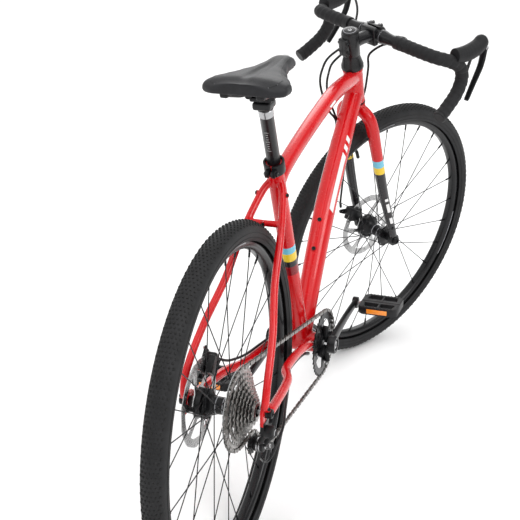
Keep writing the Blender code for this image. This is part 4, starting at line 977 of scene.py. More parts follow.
# ---- fork, headset, stem ----
LEG_TOP = 0.3288
CROWN = [(0.0, 0.0, 0.3750), (0.0, 0.0250, 0.3711), (0.0010, 0.0413, 0.3558), (0.0029, 0.0471, LEG_TOP)]
LEG = [(0.0029, 0.0471, LEG_TOP), (0.0096, 0.0490, 0.2500), (0.0192, 0.0519, 0.1442),
       (0.0327, 0.0560, 0.0481),
       (0.0385, 0.0560, 0.0115)]
fork = Piece("fork_skin")
half = smooth_path(CROWN, 6)
leg_path = smooth_path(LEG, 8)
whole = half[:-1] + leg_path
total = distances(whole)[-1]


def leg_radius(share, run, angle):
    past = max(0.0, run - 0.075) / (total - 0.075)
    return 0.0144 * (1.0 - 0.35 * past)


for sign in (1, -1):
    fork.sweep([(p.x, sign * p.y, p.z) for p in whole], leg_radius, FORK_PAINT, STEER, 32)
fork.turned([(0.0, 0.3905), (0.0212, 0.3905), (0.0226, 0.3870), (0.0222, 0.3760), (0.0192, 0.3634),
             (0.0, 0.3615)],
            FORK_PAINT, STEER, 48)
fork_skin = fork.done("steering", ("fork_crown",), angle=180)
weld(fork_skin, 0.0018)

tips = Piece("fork_ends")
for sign in (1, -1):
    end = STEER @ shift(FORK_RAKE, sign * 0.0560, 0) @ ALONG_Y
    tips.turned([(0.0061, 0.0053), (0.0134, 0.0053), (0.0144, 0.0043), (0.0144, -0.0043), (0.0134, -0.0053),
                 (0.0061, -0.0053)], SATIN, end, 48, ring=True)
    eye = STEER @ shift(0.0300, sign * 0.0660, 0.0420)
    tips.turned([(0.0, -0.006), (0.0046, -0.006), (0.0042, 0.0020), (0.0, 0.0020)], SATIN,
                facing(eye.translation, STEER.to_3x3() @ Vector((0, sign, 0))), 24)
    crown_eye = STEER @ shift(-0.0125, sign * 0.0440, 0.3150)
    place = facing(crown_eye.translation, STEER.to_3x3() @ Vector((-1, sign * 0.5, 0.1)))
    tips.bolt(place, 0.0034, 0.0022, SATIN)
for sign in (1, -1):
    for low, high in ((0.060, 0.078), (0.096, 0.122), (0.130, 0.138)):
        verts, faces = [], []
        for z in [low + (high - low) * k / 8 for k in range(9)]:
            after = next(i for i in range(len(leg_path)) if leg_path[i].z <= z)
            first, second = leg_path[after - 1], leg_path[after]
            t = (first.z - z) / (first.z - second.z)
            point = first.lerp(second, t)
            run = 0.075 + (LEG_TOP - z)
            r = leg_radius(0, run, 0) + 0.0004
            for j in range(7):
                a = math.radians(52 + 7 * j) * sign
                verts.append((point.x - r * math.cos(a), sign * point.y + r * math.sin(a), point.z))
        for i in range(8):
            for j in range(6):
                a = i * 7 + j
                faces.append((a, a + 1, a + 8, a + 7))
        tips.add(verts, faces, WHITE, STEER)
tips.done("steering", ("fork_leg_left", "fork_leg_right"))

head = Piece("headset_and_stem")
head.turned([(0.0147, 0.4782), (0.0238, 0.4782), (0.0245, 0.4790), (0.0245, 0.4860), (0.0238, 0.4872),
             (0.0190, 0.5040), (0.0186, 0.5060), (0.0186, 0.5096), (0.0180, 0.5101), (0.0147, 0.5101)],
             SATIN, STEER, 64,
            ring=True)
head.done("steering", ("headset_cover",))
low_cup = Piece("lower_headset_ring")
low_cup.turned([(0.0150, 0.3908), (0.0229, 0.3908), (0.0229, 0.3922), (0.0150, 0.3922)], ANODISED, STEER, 56,
               ring=True)
low_cup.done("steering")

stem = Piece("stem_body")
stem.turned([(0.0146, 0.5104), (0.0184, 0.5104), (0.0190, 0.5112), (0.0190, 0.5617), (0.0184, 0.5625),
             (0.0146, 0.5625)], SATIN, STEER, 56, ring=True)
arm_path = smooth_path([(0.0120, 0, 0.5362), (0.0300, 0, 0.5345), (0.0560, 0, 0.5308)], 6)
stem.sweep(arm_path, lambda s, d, a: 0.0152 - 0.0012 * math.sin(math.pi * s), SATIN, STEER, 32)
stem.block((0.0130, 0.0385, 0.0413), SATIN, STEER @ shift(0.0605 - 0.0020, 0, 0.5300), 0.0030, 4)
stem.block((0.0110, 0.0231, 0.0400), SATIN, STEER @ shift(-0.0205, 0, 0.5365), 0.0030, 4)
for height in (0.5265, 0.5465):
    stem.bolt(STEER @ shift(-0.0220, -0.0113, height) @ turn(90, "X"), 0.0043, 0.0036, ANODISED)
    stem.turned([(0.0, 0.0), (0.0040, 0.0), (0.0034, 0.0020), (0.0, 0.0020)], SATIN,
                STEER @ shift(-0.0220, 0.0113, height) @ turn(-90, "X"), 24)
stem.block((0.0006, 0.0012, 0.0380), PLASTIC, STEER @ shift(-0.0262, 0, 0.5365), 0.0002, 1)
stem.done("steering", ("stem",))

plate = Piece("stem_faceplate_clamp")
shell = (circle(0.0205, 20, start=-math.pi / 2, sweep=math.pi) + [(0.0035, 0.0205), (0.0035, 0.0157)]
         + circle(0.0158, 20, start=math.pi / 2 - 0.22, sweep=-(math.pi - 0.44)) + [(0.0035, -0.0157),
                 (0.0035, -0.0205)])
for width, low in ((0.0145, -0.0192), (0.0145, 0.0047)):
    plate.plate([shell], low, low + width, SATIN, STEER @ shift(0.0690, 0, 0.5300) @ SIDE)
plate.plate([shell], -0.0060, 0.0060, SATIN, STEER @ shift(0.0690, 0, 0.5300) @ SIDE)
for y in (-0.0120, 0.0120):
    for z in (-0.0163, 0.0163):
        lug = STEER @ shift(0.0770, y, 0.5300 + z)
        plate.block((0.0130, 0.0125, 0.0082), SATIN, lug, 0.0024, 3)
        plate.bolt(lug @ shift(0.0058, 0, 0) @ turn(90, "Y"), 0.0038, 0.0030, ANODISED)
plate.done("steering", ("stem_faceplate",))

cap = Piece("stem_top_cap")
cap.turned([(0.0, 0.5657), (0.0174, 0.5657), (0.0178, 0.5663), (0.0174, 0.5676), (0.0120, 0.5690),
            (0.0058, 0.5693),
            (0.0052, 0.5680), (0.0, 0.5680)], SATIN, STEER, 56)
cap.turned([(0.0146, 0.5625), (0.0182, 0.5625), (0.0182, 0.5656), (0.0146, 0.5656)], SATIN, STEER, 56,
           ring=True)
cap.bolt(STEER @ shift(0, 0, 0.5676), 0.0046, 0.0018, STEEL)
cap.turned([(0.0128, 0.56875), (0.0140, 0.56850), (0.0140, 0.56865), (0.0128, 0.56890)], GREY, STEER, 48,
           ring=True)
cap.done("steering", ("top_cap",))

# ---- handlebar, tape, hoods, levers ----


def bar_point(forward, side, up):
    return BAR_CENTRE + LEVEL_X * forward + Vector((0, side, 0)) + LEVEL_Z * up


BAR_DROPS = [(0.0, 0.0724, 0.0), (0.0, 0.1380, 0.0000), (0.0096, 0.1710, -0.0019), (0.0385, 0.1900, -0.0077),
             (0.0660, 0.1965, -0.0200), (0.0770, 0.1995, -0.0440), (0.0640, 0.2040, -0.0760),
             (0.0310, 0.2095, -0.1060), (0.0110, 0.2125, -0.1200)]
bar = Piece("handlebar_tube")
span = [(0.0690, y, 0.5300) for y in (-0.080, -0.060, -0.042, -0.034, -0.030, 0.0, 0.030, 0.034, 0.042,
                                      0.060, 0.080)]


def bar_radius(share, run, angle):
    across = abs(run - 0.080)
    return 0.0153 if across < 0.033 else 0.0153 - 0.0035 * min(1.0, (across - 0.033) / 0.016)


bar.sweep(span, bar_radius, SATIN, STEER, 32)
for y in (-0.0285, -0.0300, 0.0285, 0.0300):
    bar.turned([(0.01545, -0.0002), (0.01545, 0.0002)], GREY, STEER @ shift(0.0690, y, 0.5300) @ ALONG_Y, 40)
bar.done("steering", ("handlebar",))

HOOD = [(0.0423, 0.1944, 0.0058), (0.0750, 0.1983, 0.0096), (0.1077, 0.1992, 0.0212),
        (0.1269, 0.1992, 0.0423)]
LEVER = [(0.1317, 0.2011, 0.0192), (0.1298, 0.2031, -0.0192), (0.1135, 0.2060, -0.0577),
         (0.0962, 0.2098, -0.0942)]
PADDLE = [(0.1115, 0.1885, -0.0040), (0.1038, 0.1895, -0.0310), (0.0942, 0.1923, -0.0558)]
WRAP = 0.0150


def wrap_radius(share, run, angle):
    turn_share = (run / WRAP + angle / (2 * math.pi)) % 1.0
    return 0.0137 + 0.0011 * min(turn_share / 0.85, (1.0 - turn_share) / 0.15)


for side, sign in (("left", 1), ("right", -1)):
    grip = Piece("bar_wrap_" + side)
    path = smooth_path([bar_point(x, sign * y, z) for x, y, z in BAR_DROPS], 24)
    grip.sweep(path, wrap_radius, TAPE, STEER, 28)
    grip.sweep([path[0] + Vector((0, -sign * 0.0040, 0)), path[0] + Vector((0, sign * 0.0100, 0))], 0.0150,
               PLASTIC,
               STEER, 32)
    tail = (path[-1] - path[-2]).normalized()
    place = STEER @ facing(path[-1], tail)
    grip.turned([(0.0, -0.002), (0.0140, -0.002), (0.0142, 0.0010), (0.0128, 0.0026), (0.0, 0.0030)],
                PLASTIC, place, 36)
    grip.done("steering", ("bar_tape_" + side,))

    hood = Piece("brake_hood_" + side)
    path = smooth_path([bar_point(x, sign * y, z) for x, y, z in HOOD], 8)

    def hood_radius(share, run, angle):
        swell = 1.0 + 0.12 * math.sin(math.pi * share)
        ribs = 0.00035 * max(0.0, math.sin(run * 2 * math.pi / 0.0035)) if 0.2 < share < 0.72 else 0.0
        nose = 1.0 if share < 0.86 else math.sqrt(max(0.04, 1.0 - ((share - 0.86) / 0.15) ** 2))
        return 0.0160 * swell * nose + ribs
    hood.sweep(smooth_path(path, 3), hood_radius, HOOD_RUBBER, STEER, 32, 0.92)
    hood.done("steering", ("hood_" + side,), angle=60)

    lever = Piece("brake_blade_" + side)
    path = smooth_path([bar_point(x, sign * y, z) for x, y, z in LEVER], 8)
    lever.sweep(path, lambda s, d, a: 0.0088 * (1.0 - 0.28 * s) * (1.0 if s < 0.96 else 0.8), ANODISED,
                STEER, 24, 0.50)
    lever.sweep([path[0] + Vector((0, -0.0085, 0)), path[0] + Vector((0, 0.0085, 0))], 0.0040, STEEL, STEER,
                20)
    lever.done("brake_lever_" + side, ("brake_lever_" + side,))

paddle = Piece("shift_lever_blade")
path = smooth_path([bar_point(x, -y, z) for x, y, z in PADDLE], 8)
paddle.sweep(path, lambda s, d, a: 0.0052 * (0.75 + 0.55 * s) * (1.0 if s < 0.95 else 0.7), PLASTIC, STEER,
             24, 0.55)
paddle.done("shift_paddle", ("shift_paddle",))


# ---- disc brakes ----
def caliper(name, hub, carrier, arm_body, center, angle, height, rotor_height):
    body = Piece(name + "_body")
    pivot = hub @ shift(center[0], center[1], height) @ turn(angle, "Z")
    rim_side = rotor_height - height
    outer_low, inner_high = rim_side + 0.0021, rim_side - 0.0021
    outer_size, inner_size = 0.0120 - outer_low, inner_high + 0.0120
    body.block((0.0325, 0.0325, outer_size), ANODISED, pivot @ shift(0, 0, 0.0120 - outer_size / 2), 0.0030,
               3)
    body.block((0.0325, 0.0325, inner_size), ANODISED, pivot @ shift(0, 0, inner_high - inner_size / 2),
               0.0030, 3)
    toward = (hub @ Vector((0, 0, height))) - (hub @ Vector((center[0], center[1], height)))
    inward = (pivot.inverted().to_3x3() @ toward).normalized()
    back = -inward * 0.0130
    body.block((0.0200, 0.0200, 0.0230), ANODISED, pivot @ shift(back.x, back.y, 0), 0.0040, 3)
    for sign in (-1, 1):
        bolt_place = pivot @ shift(-0.0110, sign * 0.0108, 0.0118)
        body.bolt(bolt_place, 0.0040, 0.0030, STEEL)
    body.turned([(0.0, 0.0), (0.0105, 0.0), (0.0100, 0.0022), (0.0, 0.0022)], ANODISED,
                pivot @ shift(0, 0, 0.0116), 40)
    body.done("frame" if carrier == "frame" else "steering", (name,))
    arm = Piece(name + "_lever")
    outline = (circle(0.0088, 24, (0, 0), math.pi / 2, math.pi)
               + circle(0.0048, 14, (0.0300, 0), -math.pi / 2, math.pi))
    arm.plate([outline, circle(0.0016, 12, (0.0230, 0))], 0.0128, 0.0156, ANODISED, pivot, 0.0006)
    arm.bolt(pivot @ shift(0, 0, 0.0154), 0.0064, 0.0036, STEEL)
    arm.bolt(pivot @ shift(0.0300, 0, 0.0154), 0.0038, 0.0030, STEEL)
    arm.done(arm_body, (name + "_arm",))


caliper("front_caliper", FRONT_HUB, "steering", "front_caliper_arm", (-0.0380, -0.0570), -150, 0.0367, 0.0356)
caliper("rear_caliper", REAR_HUB, "frame", "rear_caliper_arm", (0.0450, -0.0510), -50, 0.0470, 0.0500)


# ---- drivetrain ----
RING_RADIUS, CHAIN_HALF, CHAIN_Y, CHAIN_REAR_Y = 0.0643, 0.0037, -0.0442, -0.0272
CHAIN_LIFT = CHAIN_HALF + 0.0008
CASSETTE_BIG, CASSETTE_SMALL, CASSETTE_IN, CASSETTE_OUT = 0.0685, 0.0195, -0.0250, -0.0577
GUIDE, TENSION, PULLEY_RADIUS = (-0.4430, 0.2310), (-0.3640, 0.2090), 0.0180
slant = math.atan2(-(CHAIN_REAR_Y - CHAIN_Y), -(REAR_AXLE.x - BB.x))


def in_chain_plane(x, z):
    share = (CHAIN_REAR_Y - CHAIN_Y) / (REAR_AXLE.x - BB.x)
    return Vector((x, CHAIN_Y + (x - BB.x) * share, z)), (x - BB.x) / math.cos(slant)


def toothed(root, tip, teeth, tooth=0.45):
    """A sprocket's outline."""
    out = []
    for k in range(teeth):
        for share, r in ((0.0, root), (0.16, root), (0.5 - tooth * 0.42, (root + tip) / 2 + 0.0004),
                         (0.5 - tooth * 0.17, tip), (0.5 + tooth * 0.17, tip),
                         (0.5 + tooth * 0.42, (root + tip) / 2 + 0.0004), (0.84, root)):
            angle = 2 * math.pi * (k + share) / teeth
            out.append((r * math.cos(angle), r * math.sin(angle)))
    return out


cassette = Piece("cassette_stack")
step = (CASSETTE_IN - CASSETTE_OUT) / 8
for k, teeth in enumerate((36, 32, 28, 24, 21, 18, 15, 12)):
    root = CASSETTE_BIG + (CASSETTE_SMALL - CASSETTE_BIG) * (k / 7) ** 0.85
    top = CASSETTE_IN - step * k
    loops = [toothed(root - 0.0005, root + 0.0036, teeth)]
    if k < 5:
        outer, inner = root - 0.0075, max(0.0215, root * 0.52)
        for j in range(6):
            start = 2 * math.pi * j / 6 + 0.2 * k
            sweep = 2 * math.pi / 6 - 0.34
            loops.append(circle(outer, 10, start=start, sweep=sweep)
                         + circle(inner, 8, start=start + sweep - 0.05, sweep=-(sweep - 0.10)))
    loops.append(circle(0.0156, 32))
    cassette.plate(loops, top - 0.0019, top - 0.0001, SPROCKET, REAR_HUB)
    if k < 7:
        cassette.turned([(0.0156, top - 0.0019), (0.0205, top - 0.0019), (0.0205, top - step),
                         (0.0156, top - step)], ANODISED, REAR_HUB, 40, ring=True)
cassette.turned([(0.0100, CASSETTE_OUT + 0.0020), (0.0172, CASSETTE_OUT + 0.0020),
                 (0.0172, CASSETTE_OUT + 0.0004),
                 (0.0164, CASSETTE_OUT - 0.0002), (0.0100, CASSETTE_OUT - 0.0002)], SPROCKET, REAR_HUB, 40,
                 ring=True)
cassette.done("cassette", ("cassette",))

ring = Piece("chainring_plate")
loops = [toothed(RING_RADIUS - 0.0005, RING_RADIUS + 0.0042, 34)]
for k in range(4):
    start = 2 * math.pi * k / 4 + math.radians(14)
    sweep = math.radians(62)
    loops.append(circle(0.0520, 16, start=start, sweep=sweep) + circle(0.0300, 12, start=start + sweep - 0.06,
                                                                     sweep=-(sweep - 0.12)))
loops.append(circle(0.0118, 32))
place = CRANK @ shift(0, CHAIN_Y, 0) @ SIDE
ring.plate(loops, -0.00135, 0.00135, ANODISED, place)
for k in range(4):
    angle = 2 * math.pi * k / 4
    bolt_place = place @ shift(0.0440 * math.cos(angle), 0.0440 * math.sin(angle), 0.0013)
    ring.bolt(bolt_place, 0.0046, 0.0020, STEEL)
ring.plate([circle(0.0240, 40), circle(0.0118, 32)], 0.0013, 0.0032, ANODISED, place, 0.0004)
ring.done("crankset", ("chainring",))


def belt(circles, counts):
    """A closed path round circles (x, z, radius, turn): turn is 1 inside the loop and -1 outside it."""
    sweeps = [[0.0, 0.0] for _ in circles]
    for i, (x, z, radius, turn_) in enumerate(circles):
        j = (i + 1) % len(circles)
        next_x, next_z, next_radius, next_turn = circles[j]
        run = math.hypot(next_x - x, next_z - z)
        heading = math.atan2(next_z - z,
                             next_x - x) + math.asin((radius * turn_ - next_radius * next_turn) / run)
        sweeps[i][1] = heading - turn_ * math.pi / 2
        sweeps[j][0] = heading - next_turn * math.pi / 2
    path = []
    for (x, z, radius, turn_), (start, stop), count in zip(circles, sweeps, counts):
        sweep = turn_ * ((turn_ * (stop - start)) % (2 * math.pi))
        path += circle(radius, count, (x, z), start, sweep)
    return path


guide_place, guide_x = in_chain_plane(*GUIDE)
tension_place, tension_x = in_chain_plane(*TENSION)
rear_x = in_chain_plane(REAR_AXLE.x, REAR_AXLE.z)[1]
loop = belt([(0.0, BB.z, RING_RADIUS + CHAIN_LIFT, 1), (rear_x, REAR_AXLE.z, CASSETTE_BIG + CHAIN_LIFT, 1),
             (guide_x, GUIDE[1], PULLEY_RADIUS + CHAIN_LIFT, -1),
             (tension_x, TENSION[1], PULLEY_RADIUS + CHAIN_LIFT, 1)],
            (64, 64, 24, 24))
CHAIN_PLANE = Matrix.Translation((BB.x, CHAIN_Y, 0)) @ Matrix.Rotation(slant, 4, "Z") @ SIDE
closed = [Vector((x, y, 0)) for x, y in loop + loop[:1]]
runs = distances(closed)
links = round(runs[-1] / 0.0127 / 2) * 2
pitch = runs[-1] / links
pins = []
i = 0
for k in range(links):
    target = k * pitch
    while runs[i + 1] < target:
        i += 1
    t = (target - runs[i]) / (runs[i + 1] - runs[i])
    pins.append(closed[i].lerp(closed[i + 1], t))
chain = Piece("roller_chain")
for k, pin in enumerate(pins):
    after = pins[(k + 1) % links]
    ahead = (after - pin).normalized()
    angle = math.atan2(ahead.y, ahead.x)
    long = (after - pin).length
    outer = k % 2 == 0
    radius, waist = 0.0036, 0.0026
    side = []
    for center, base in ((0.0, math.pi / 2), (long, -math.pi / 2)):
        side += circle(radius, 7, (center, 0), base, math.pi)
        side.append((long / 2, -waist if center == 0.0 else waist))
    place = CHAIN_PLANE @ Matrix.Translation(pin) @ Matrix.Rotation(angle, 4, "Z")
    for sign in (1, -1):
        low, high = (0.0019, 0.0027) if outer else (0.0010, 0.0018)
        low, high = sorted((sign * low, sign * high))
        chain.plate([side], low, high, CHAIN_STEEL, place)
    chain.turned([(0.0, -0.0030), (0.0017, -0.0030), (0.0017, 0.0030), (0.0, 0.0030)], STEEL, place, 8)
    chain.turned([(0.0027, -0.0010), (0.0027, 0.0010)], CHAIN_STEEL, place, 10)
chain.done("frame", ("chain",))

for side, sign in (("left", 1), ("right", -1)):
    reach = -sign * CRANK_LENGTH
    outward = ALONG_Y if sign > 0 else ALONG_Y @ turn(180, "X")
    arm = Piece("crank_" + side)
    path = smooth_path([(0.0, sign * 0.0613, 0.0), (reach * 0.35, sign * 0.0620, 0.0),
                        (reach * 0.75, sign * 0.0655, 0.0),
                        (reach * 0.985, sign * 0.0690, 0.0)], 8)
    arm.sweep(path, lambda s, d, a: 0.0140 * (1.0 - 0.26 * s) * (0.97 + 0.03 * math.cos(2 * a)), ANODISED,
              CRANK, 32, 0.50)
    arm.turned([(0.0, 0.0568), (0.0150, 0.0568), (0.0183, 0.0580), (0.0183, 0.0715), (0.0165, 0.0738),
                (0.0120, 0.0738),
                (0.0112, 0.0700), (0.0, 0.0698)], ANODISED, CRANK @ outward, 48)
    arm.turned([(0.0, 0.0642), (0.0118, 0.0642), (0.0125, 0.0650), (0.0125, 0.0750), (0.0112, 0.0757),
                (0.0, 0.0757)],
               ANODISED, CRANK @ shift(reach, 0, 0) @ outward, 40)
    arm.bolt(CRANK @ outward @ shift(0, 0, 0.0698), 0.0082, 0.0030, STEEL)
    if sign > 0:
        arm.turned([(0.0, -0.0500), (0.0113, -0.0500), (0.0113, 0.0590), (0.0, 0.0590)], STEEL,
                   CRANK @ ALONG_Y, 32)
    else:
        for k in range(4):
            spider = turn(-90 * k, "Z")
            arm.sweep([(0.0080, 0, 0), (0.0280, 0, 0.0010), (0.0420, 0, 0.0020)], 0.0065, ANODISED,
                      CRANK @ shift(0, -0.0500, 0) @ SIDE @ spider, 16, 0.5)
    arm.done("crankset", ("crank_arm_" + side,))

    pedal = Piece("platform_pedal_" + side)
    centre = CRANK @ Vector((reach, sign * 0.1221, 0))
    base = Matrix.Translation(centre + Vector((0, sign * 0.0038, 0)))
    outline = [(-0.0385, -0.0327), (-0.0330, -0.0395), (-0.0288, -0.0423), (0.0288, -0.0423),
               (0.0330, -0.0395),
               (0.0385, -0.0327), (0.0385, 0.0327), (0.0330, 0.0395), (0.0288, 0.0423), (-0.0288, 0.0423),
               (-0.0330, 0.0395), (-0.0385, 0.0327)]
    holes = [[(-0.0310, -0.0290), (-0.0110, -0.0330), (-0.0110, -0.0020), (-0.0310, -0.0020)],
             [(-0.0310, 0.0020), (-0.0110, 0.0020), (-0.0110, 0.0330), (-0.0310, 0.0290)],
             [(0.0110, -0.0330), (0.0310, -0.0290), (0.0310, -0.0020), (0.0110, -0.0020)],
             [(0.0110, 0.0020), (0.0310, 0.0020), (0.0310, 0.0290), (0.0110, 0.0330)]]
    pedal.plate([outline] + holes, -0.0085, 0.0085, PLASTIC, base, 0.0012)
    pedal.turned([(0.0, -0.0420), (0.0095, -0.0420), (0.0095, 0.0400), (0.0070, 0.0422), (0.0, 0.0422)],
                 PLASTIC,
                 base @ ALONG_Y, 32)
    pedal.turned([(0.0, 0.0420), (0.0046, 0.0420), (0.0046, 0.0500), (0.0, 0.0500)], STEEL,
                 base @ ALONG_Y @ turn(180 if sign > 0 else 0, "X"), 24)
    for x in (-0.0350, 0.0350):
        for level in (1, -1):
            for k in range(9):
                tooth = base @ shift(x, -0.030 + 0.0075 * k, level * 0.0082)
                pedal.turned([(0.0, 0.0016 * level), (0.0010, 0.0016 * level), (0.0018, 0.0)], PLASTIC,
                             tooth, 8)
    for x in (-1, 1):
        lens = base @ shift(x * 0.0388, 0, 0)
        pedal.block((0.0022, 0.0480, 0.0120), PLASTIC, lens, 0.0008)
        pedal.block((0.0016, 0.0440, 0.0098), AMBER, lens @ shift(x * 0.0010, 0, 0), 0.0005)
    pedal.done("pedal_" + side, ("pedal_" + side,))

# ---- rear derailleur ----
cage_place = Matrix.Translation(guide_place) @ Matrix.Rotation(slant, 4, "Z")
tension_matrix = Matrix.Translation(tension_place) @ Matrix.Rotation(slant, 4, "Z")
for name, place, teeth in (("guide_pulley", cage_place, 11), ("tension_pulley", tension_matrix, 11)):
    wheel = Piece(name + "_wheel")
    loops = [toothed(PULLEY_RADIUS - 0.0008, PULLEY_RADIUS + 0.0034, teeth)]
    loops += [circle(0.0022, 10, (0.0115 * math.cos(a), 0.0115 * math.sin(a))) for a in
              (2 * math.pi * k / 6 for k in range(6))]
    loops.append(circle(0.0030, 16))
    wheel.plate(loops, -0.0009, 0.0009, PLASTIC, place @ SIDE)
    wheel.turned([(0.0030, -0.0018), (0.0085, -0.0018), (0.0090, -0.0010), (0.0090, 0.0010), (0.0085, 0.0018),
                  (0.0030, 0.0018)], PLASTIC, place @ SIDE, 32, ring=True)
    wheel.done(name, (name,))

spread = Vector((tension_x - guide_x, TENSION[1] - GUIDE[1]))
tilt = math.atan2(spread.y, spread.x)
cage = Piece("derailleur_cage_plates")
waist = [spread * 0.5 + Vector((-spread.y, spread.x)).normalized() * w for w in (0.0085, -0.0085)]
outline = (circle(0.0110, 18, (0, 0), tilt + math.pi / 2, math.pi) + [tuple(waist[1])]
           + circle(0.0155, 24, tuple(spread), tilt - math.pi / 2, math.pi) + [tuple(waist[0])])
window = (circle(0.0050, 10, tuple(spread * 0.32), tilt + math.pi / 2, math.pi)
          + circle(0.0060, 10, tuple(spread * 0.62), tilt - math.pi / 2, math.pi))
for y in (-0.0046, 0.0046):
    cage.plate([outline, window], -0.00075, 0.00075, ANODISED, cage_place @ shift(0, y, 0) @ SIDE, 0.0003)
for center in (Vector((0, 0)), spread):
    place = cage_place @ shift(center.x, 0, center.y) @ SIDE
    cage.turned([(0.0, -0.0060), (0.0024, -0.0060), (0.0024, 0.0060), (0.0, 0.0060)], STEEL, place, 20)
    cage.bolt(place @ shift(0, 0, 0.0052), 0.0040, 0.0012, STEEL)
cage.done("derailleur_cage", ("derailleur_cage",))

mech = Piece("derailleur_body")
KNUCKLE_Y = -0.0157
hanger = Vector((REAR_AXLE.x - 0.0040, -0.0675 - 0.0144, REAR_AXLE.z - 0.0330))
knuckle = cage_place @ shift(0, KNUCKLE_Y, 0) @ ALONG_Y
mech.turned([(0.0, 0.0090), (0.0120, 0.0090), (0.0125, 0.0082), (0.0125, -0.0050), (0.0116, -0.0076),
             (0.0080, -0.0090),
             (0.0, -0.0090)], PLASTIC, knuckle, 40)
mech.turned([(0.0126, 0.0050), (0.0129, 0.0048), (0.0129, 0.0026), (0.0126, 0.0024)], STEEL, knuckle, 40)
mech.turned([(0.0126, 0.0004), (0.0129, 0.0002), (0.0129, -0.0020), (0.0126, -0.0022)], STEEL, knuckle, 40)
mech.bolt(knuckle @ turn(180, "X") @ shift(0, 0, 0.0084), 0.0056, 0.0020, STEEL)
upper = Matrix.Translation(hanger) @ ALONG_Y
mech.turned([(0.0, 0.0075), (0.0110, 0.0075), (0.0115, 0.0068), (0.0115, -0.0060), (0.0100, -0.0075),
             (0.0, -0.0075)],
            PLASTIC, upper, 40)
mech.bolt(upper @ turn(180, "X") @ shift(0, 0, 0.0070), 0.0062, 0.0024, STEEL)
low = guide_place + Vector((0, KNUCKLE_Y - 0.0020, 0))
high = hanger + Vector((0.0040, -0.0030, -0.0040))
run = low - high
for side_shift in (-0.0052, 0.0052):
    start, stop = high + Vector((0, side_shift, 0.003)), low + Vector((0, side_shift, 0.003))
    mech.sweep([start, start.lerp(stop, 0.5) + Vector((0, 0, 0.0010)), stop],
               lambda s, d, a: 0.0070 - 0.0012 * math.sin(math.pi * s), PLASTIC, sides=20, flat=0.46)
for share in (0.12, 0.88):
    point = high + run * share
    mech.sweep([point + Vector((0, -0.0088, 0.002)), point + Vector((0, 0.0088, 0.002))], 0.0024, STEEL,
               sides=14)
block_path = smooth_path([low, low + Vector((0.0200, -0.0020, -0.0120)),
                          low + Vector((0.0400, -0.0040, -0.0220))], 6)
mech.sweep(block_path, lambda s, d, a: 0.0084 * (1.0 - 0.22 * s), PLASTIC, sides=28)
mech.sweep([block_path[-1] - Vector((0.003, 0, -0.0015)), block_path[-1] + Vector((0.0008, 0, -0.0004))],
           0.0048, STEEL,
           sides=20)
anchor = facing(block_path[5] + Vector((0, -0.0060, 0.001)), (0, -1, 0.1))
mech.bolt(anchor, 0.0040, 0.0032, STEEL)
mech.done("frame", ("rear_derailleur",))

# ---- cables ----
from_steering = [STEER @ Vector(p) for p in ((0.1700, 0.1640, 0.5300), (0.1500, 0.1300, 0.5330),
                                             (0.1250, 0.1020, 0.5230), (0.0880, 0.0790, 0.5040),
                                             (0.0540, 0.0560, 0.5000))]
REAR_BRAKE = from_steering + [
    (0.2735, 0.0470, 0.7842), (0.2383, 0.0520, 0.7624), (0.2244, 0.0520, 0.7400), (0.2260, 0.0460, 0.7100),
    (0.2467, 0.0370, 0.6719), (0.2600, 0.0240, 0.6400), (0.2010, 0.0215, 0.5760), (0.1259, 0.0215, 0.5040),
    (0.0740, 0.0215, 0.4420), (0.0239, 0.0215, 0.3730), (-0.0180, 0.0262, 0.3240), (-0.0560, 0.0250, 0.3050),
    (-0.0962, 0.0300, 0.2890), (-0.1500, 0.0345, 0.3050), (-0.2095, 0.0360, 0.3150),
    (-0.2800, 0.0420, 0.3220),
    (-0.3250, 0.0490, 0.3310), (-0.3600, 0.0520, 0.3440), (-0.4000, 0.0580, 0.3680),
    (-0.4190, 0.0612, 0.3850),
    (-0.4255, 0.0612, 0.3920)]
shift_start = [STEER @ Vector(p) for p in ((0.0780, -0.0800, 0.5230), (0.1000, -0.0690, 0.5170),
                                           (0.1240, -0.0350, 0.5050), (0.1050, 0.0200, 0.4970),
                                           (0.0560, 0.0420, 0.4930))]
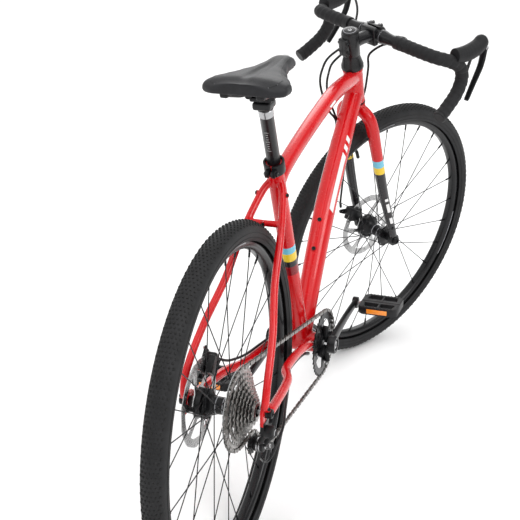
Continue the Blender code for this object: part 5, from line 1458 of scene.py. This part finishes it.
SHIFT = shift_start + [
    (0.2800, 0.0370, 0.7750), (0.2560, 0.0430, 0.7500), (0.2460, 0.0430, 0.7250), (0.2520, 0.0390, 0.6980),
    (0.2700, 0.0300, 0.6580), (0.2745, 0.0205, 0.6360), (0.2690, 0.0080, 0.6230), (0.2060, 0.0080, 0.5660),
    (0.1340, 0.0080, 0.4985), (0.0800, 0.0080, 0.4310), (0.0322, 0.0080, 0.3665), (-0.0060, 0.0080, 0.3020),
    (-0.0250, 0.0060, 0.2540), (-0.0520, -0.0020, 0.2330), (-0.0850, -0.0220, 0.2460),
    (-0.1100, -0.0310, 0.2610),
    (-0.1500, -0.0345, 0.2770), (-0.2095, -0.0360, 0.2880), (-0.2900, -0.0420, 0.2950),
    (-0.3450, -0.0620, 0.2980),
    (-0.4200, -0.0830, 0.2960), (-0.4650, -0.0945, 0.2890), (-0.5000, -0.0960, 0.2760),
    (-0.5200, -0.0900, 0.2560),
    (-0.5110, -0.0780, 0.2400), (-0.4920, -0.0640, 0.2330)]
FRONT_BRAKE = [(0.0760, -0.0860, 0.5240), (0.0760, -0.0600, 0.5210), (0.0690, -0.0300, 0.5110),
               (0.0560, -0.0100, 0.4960), (0.0500, 0.0000, 0.4800), (0.0480, 0.0000, 0.4560),
               (0.0462, 0.0050, 0.4253), (0.0428, 0.0100, 0.3950), (0.0360, 0.0180, 0.3620),
               (0.0220, 0.0285, 0.3300), (0.0060, 0.0310, 0.3000), (-0.0080, 0.0350, 0.2650),
               (-0.0090, 0.0430, 0.2000), (-0.0180, 0.0490, 0.1350), (-0.0240, 0.0508, 0.1020),
               (-0.0250, 0.0508, 0.0850)]
CABLE = 0.0025


def cable(name, route, node, crossing=None, body=None, place=None):
    piece = Piece(name)
    path = smooth_path(route, 6)
    piece.sweep(path, CABLE, HOUSING, place, 14)
    tail = path[-1] - path[-3]
    piece.sweep([path[-1] - tail * 2.2, path[-1] + tail * 0.1], 0.0031, ANODISED, place, 16)
    obj = piece.done(None, (node,))
    if crossing:
        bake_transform(obj)
    else:
        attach(obj, body)


cable("rear_brake_housing", REAR_BRAKE, "rear_brake_cable", (STEER @ Vector((0.0540, 0.0560, 0.5000)),
                                                             (0.2500, 0.0350, 0.6650)))
cable("shift_housing", SHIFT, "shift_cable", (STEER @ Vector((0.0560, 0.0420, 0.4930)),
                                              (0.2730, 0.0280, 0.6500)))
cable("front_brake_housing", FRONT_BRAKE, "front_brake_cable", body="steering", place=STEER)
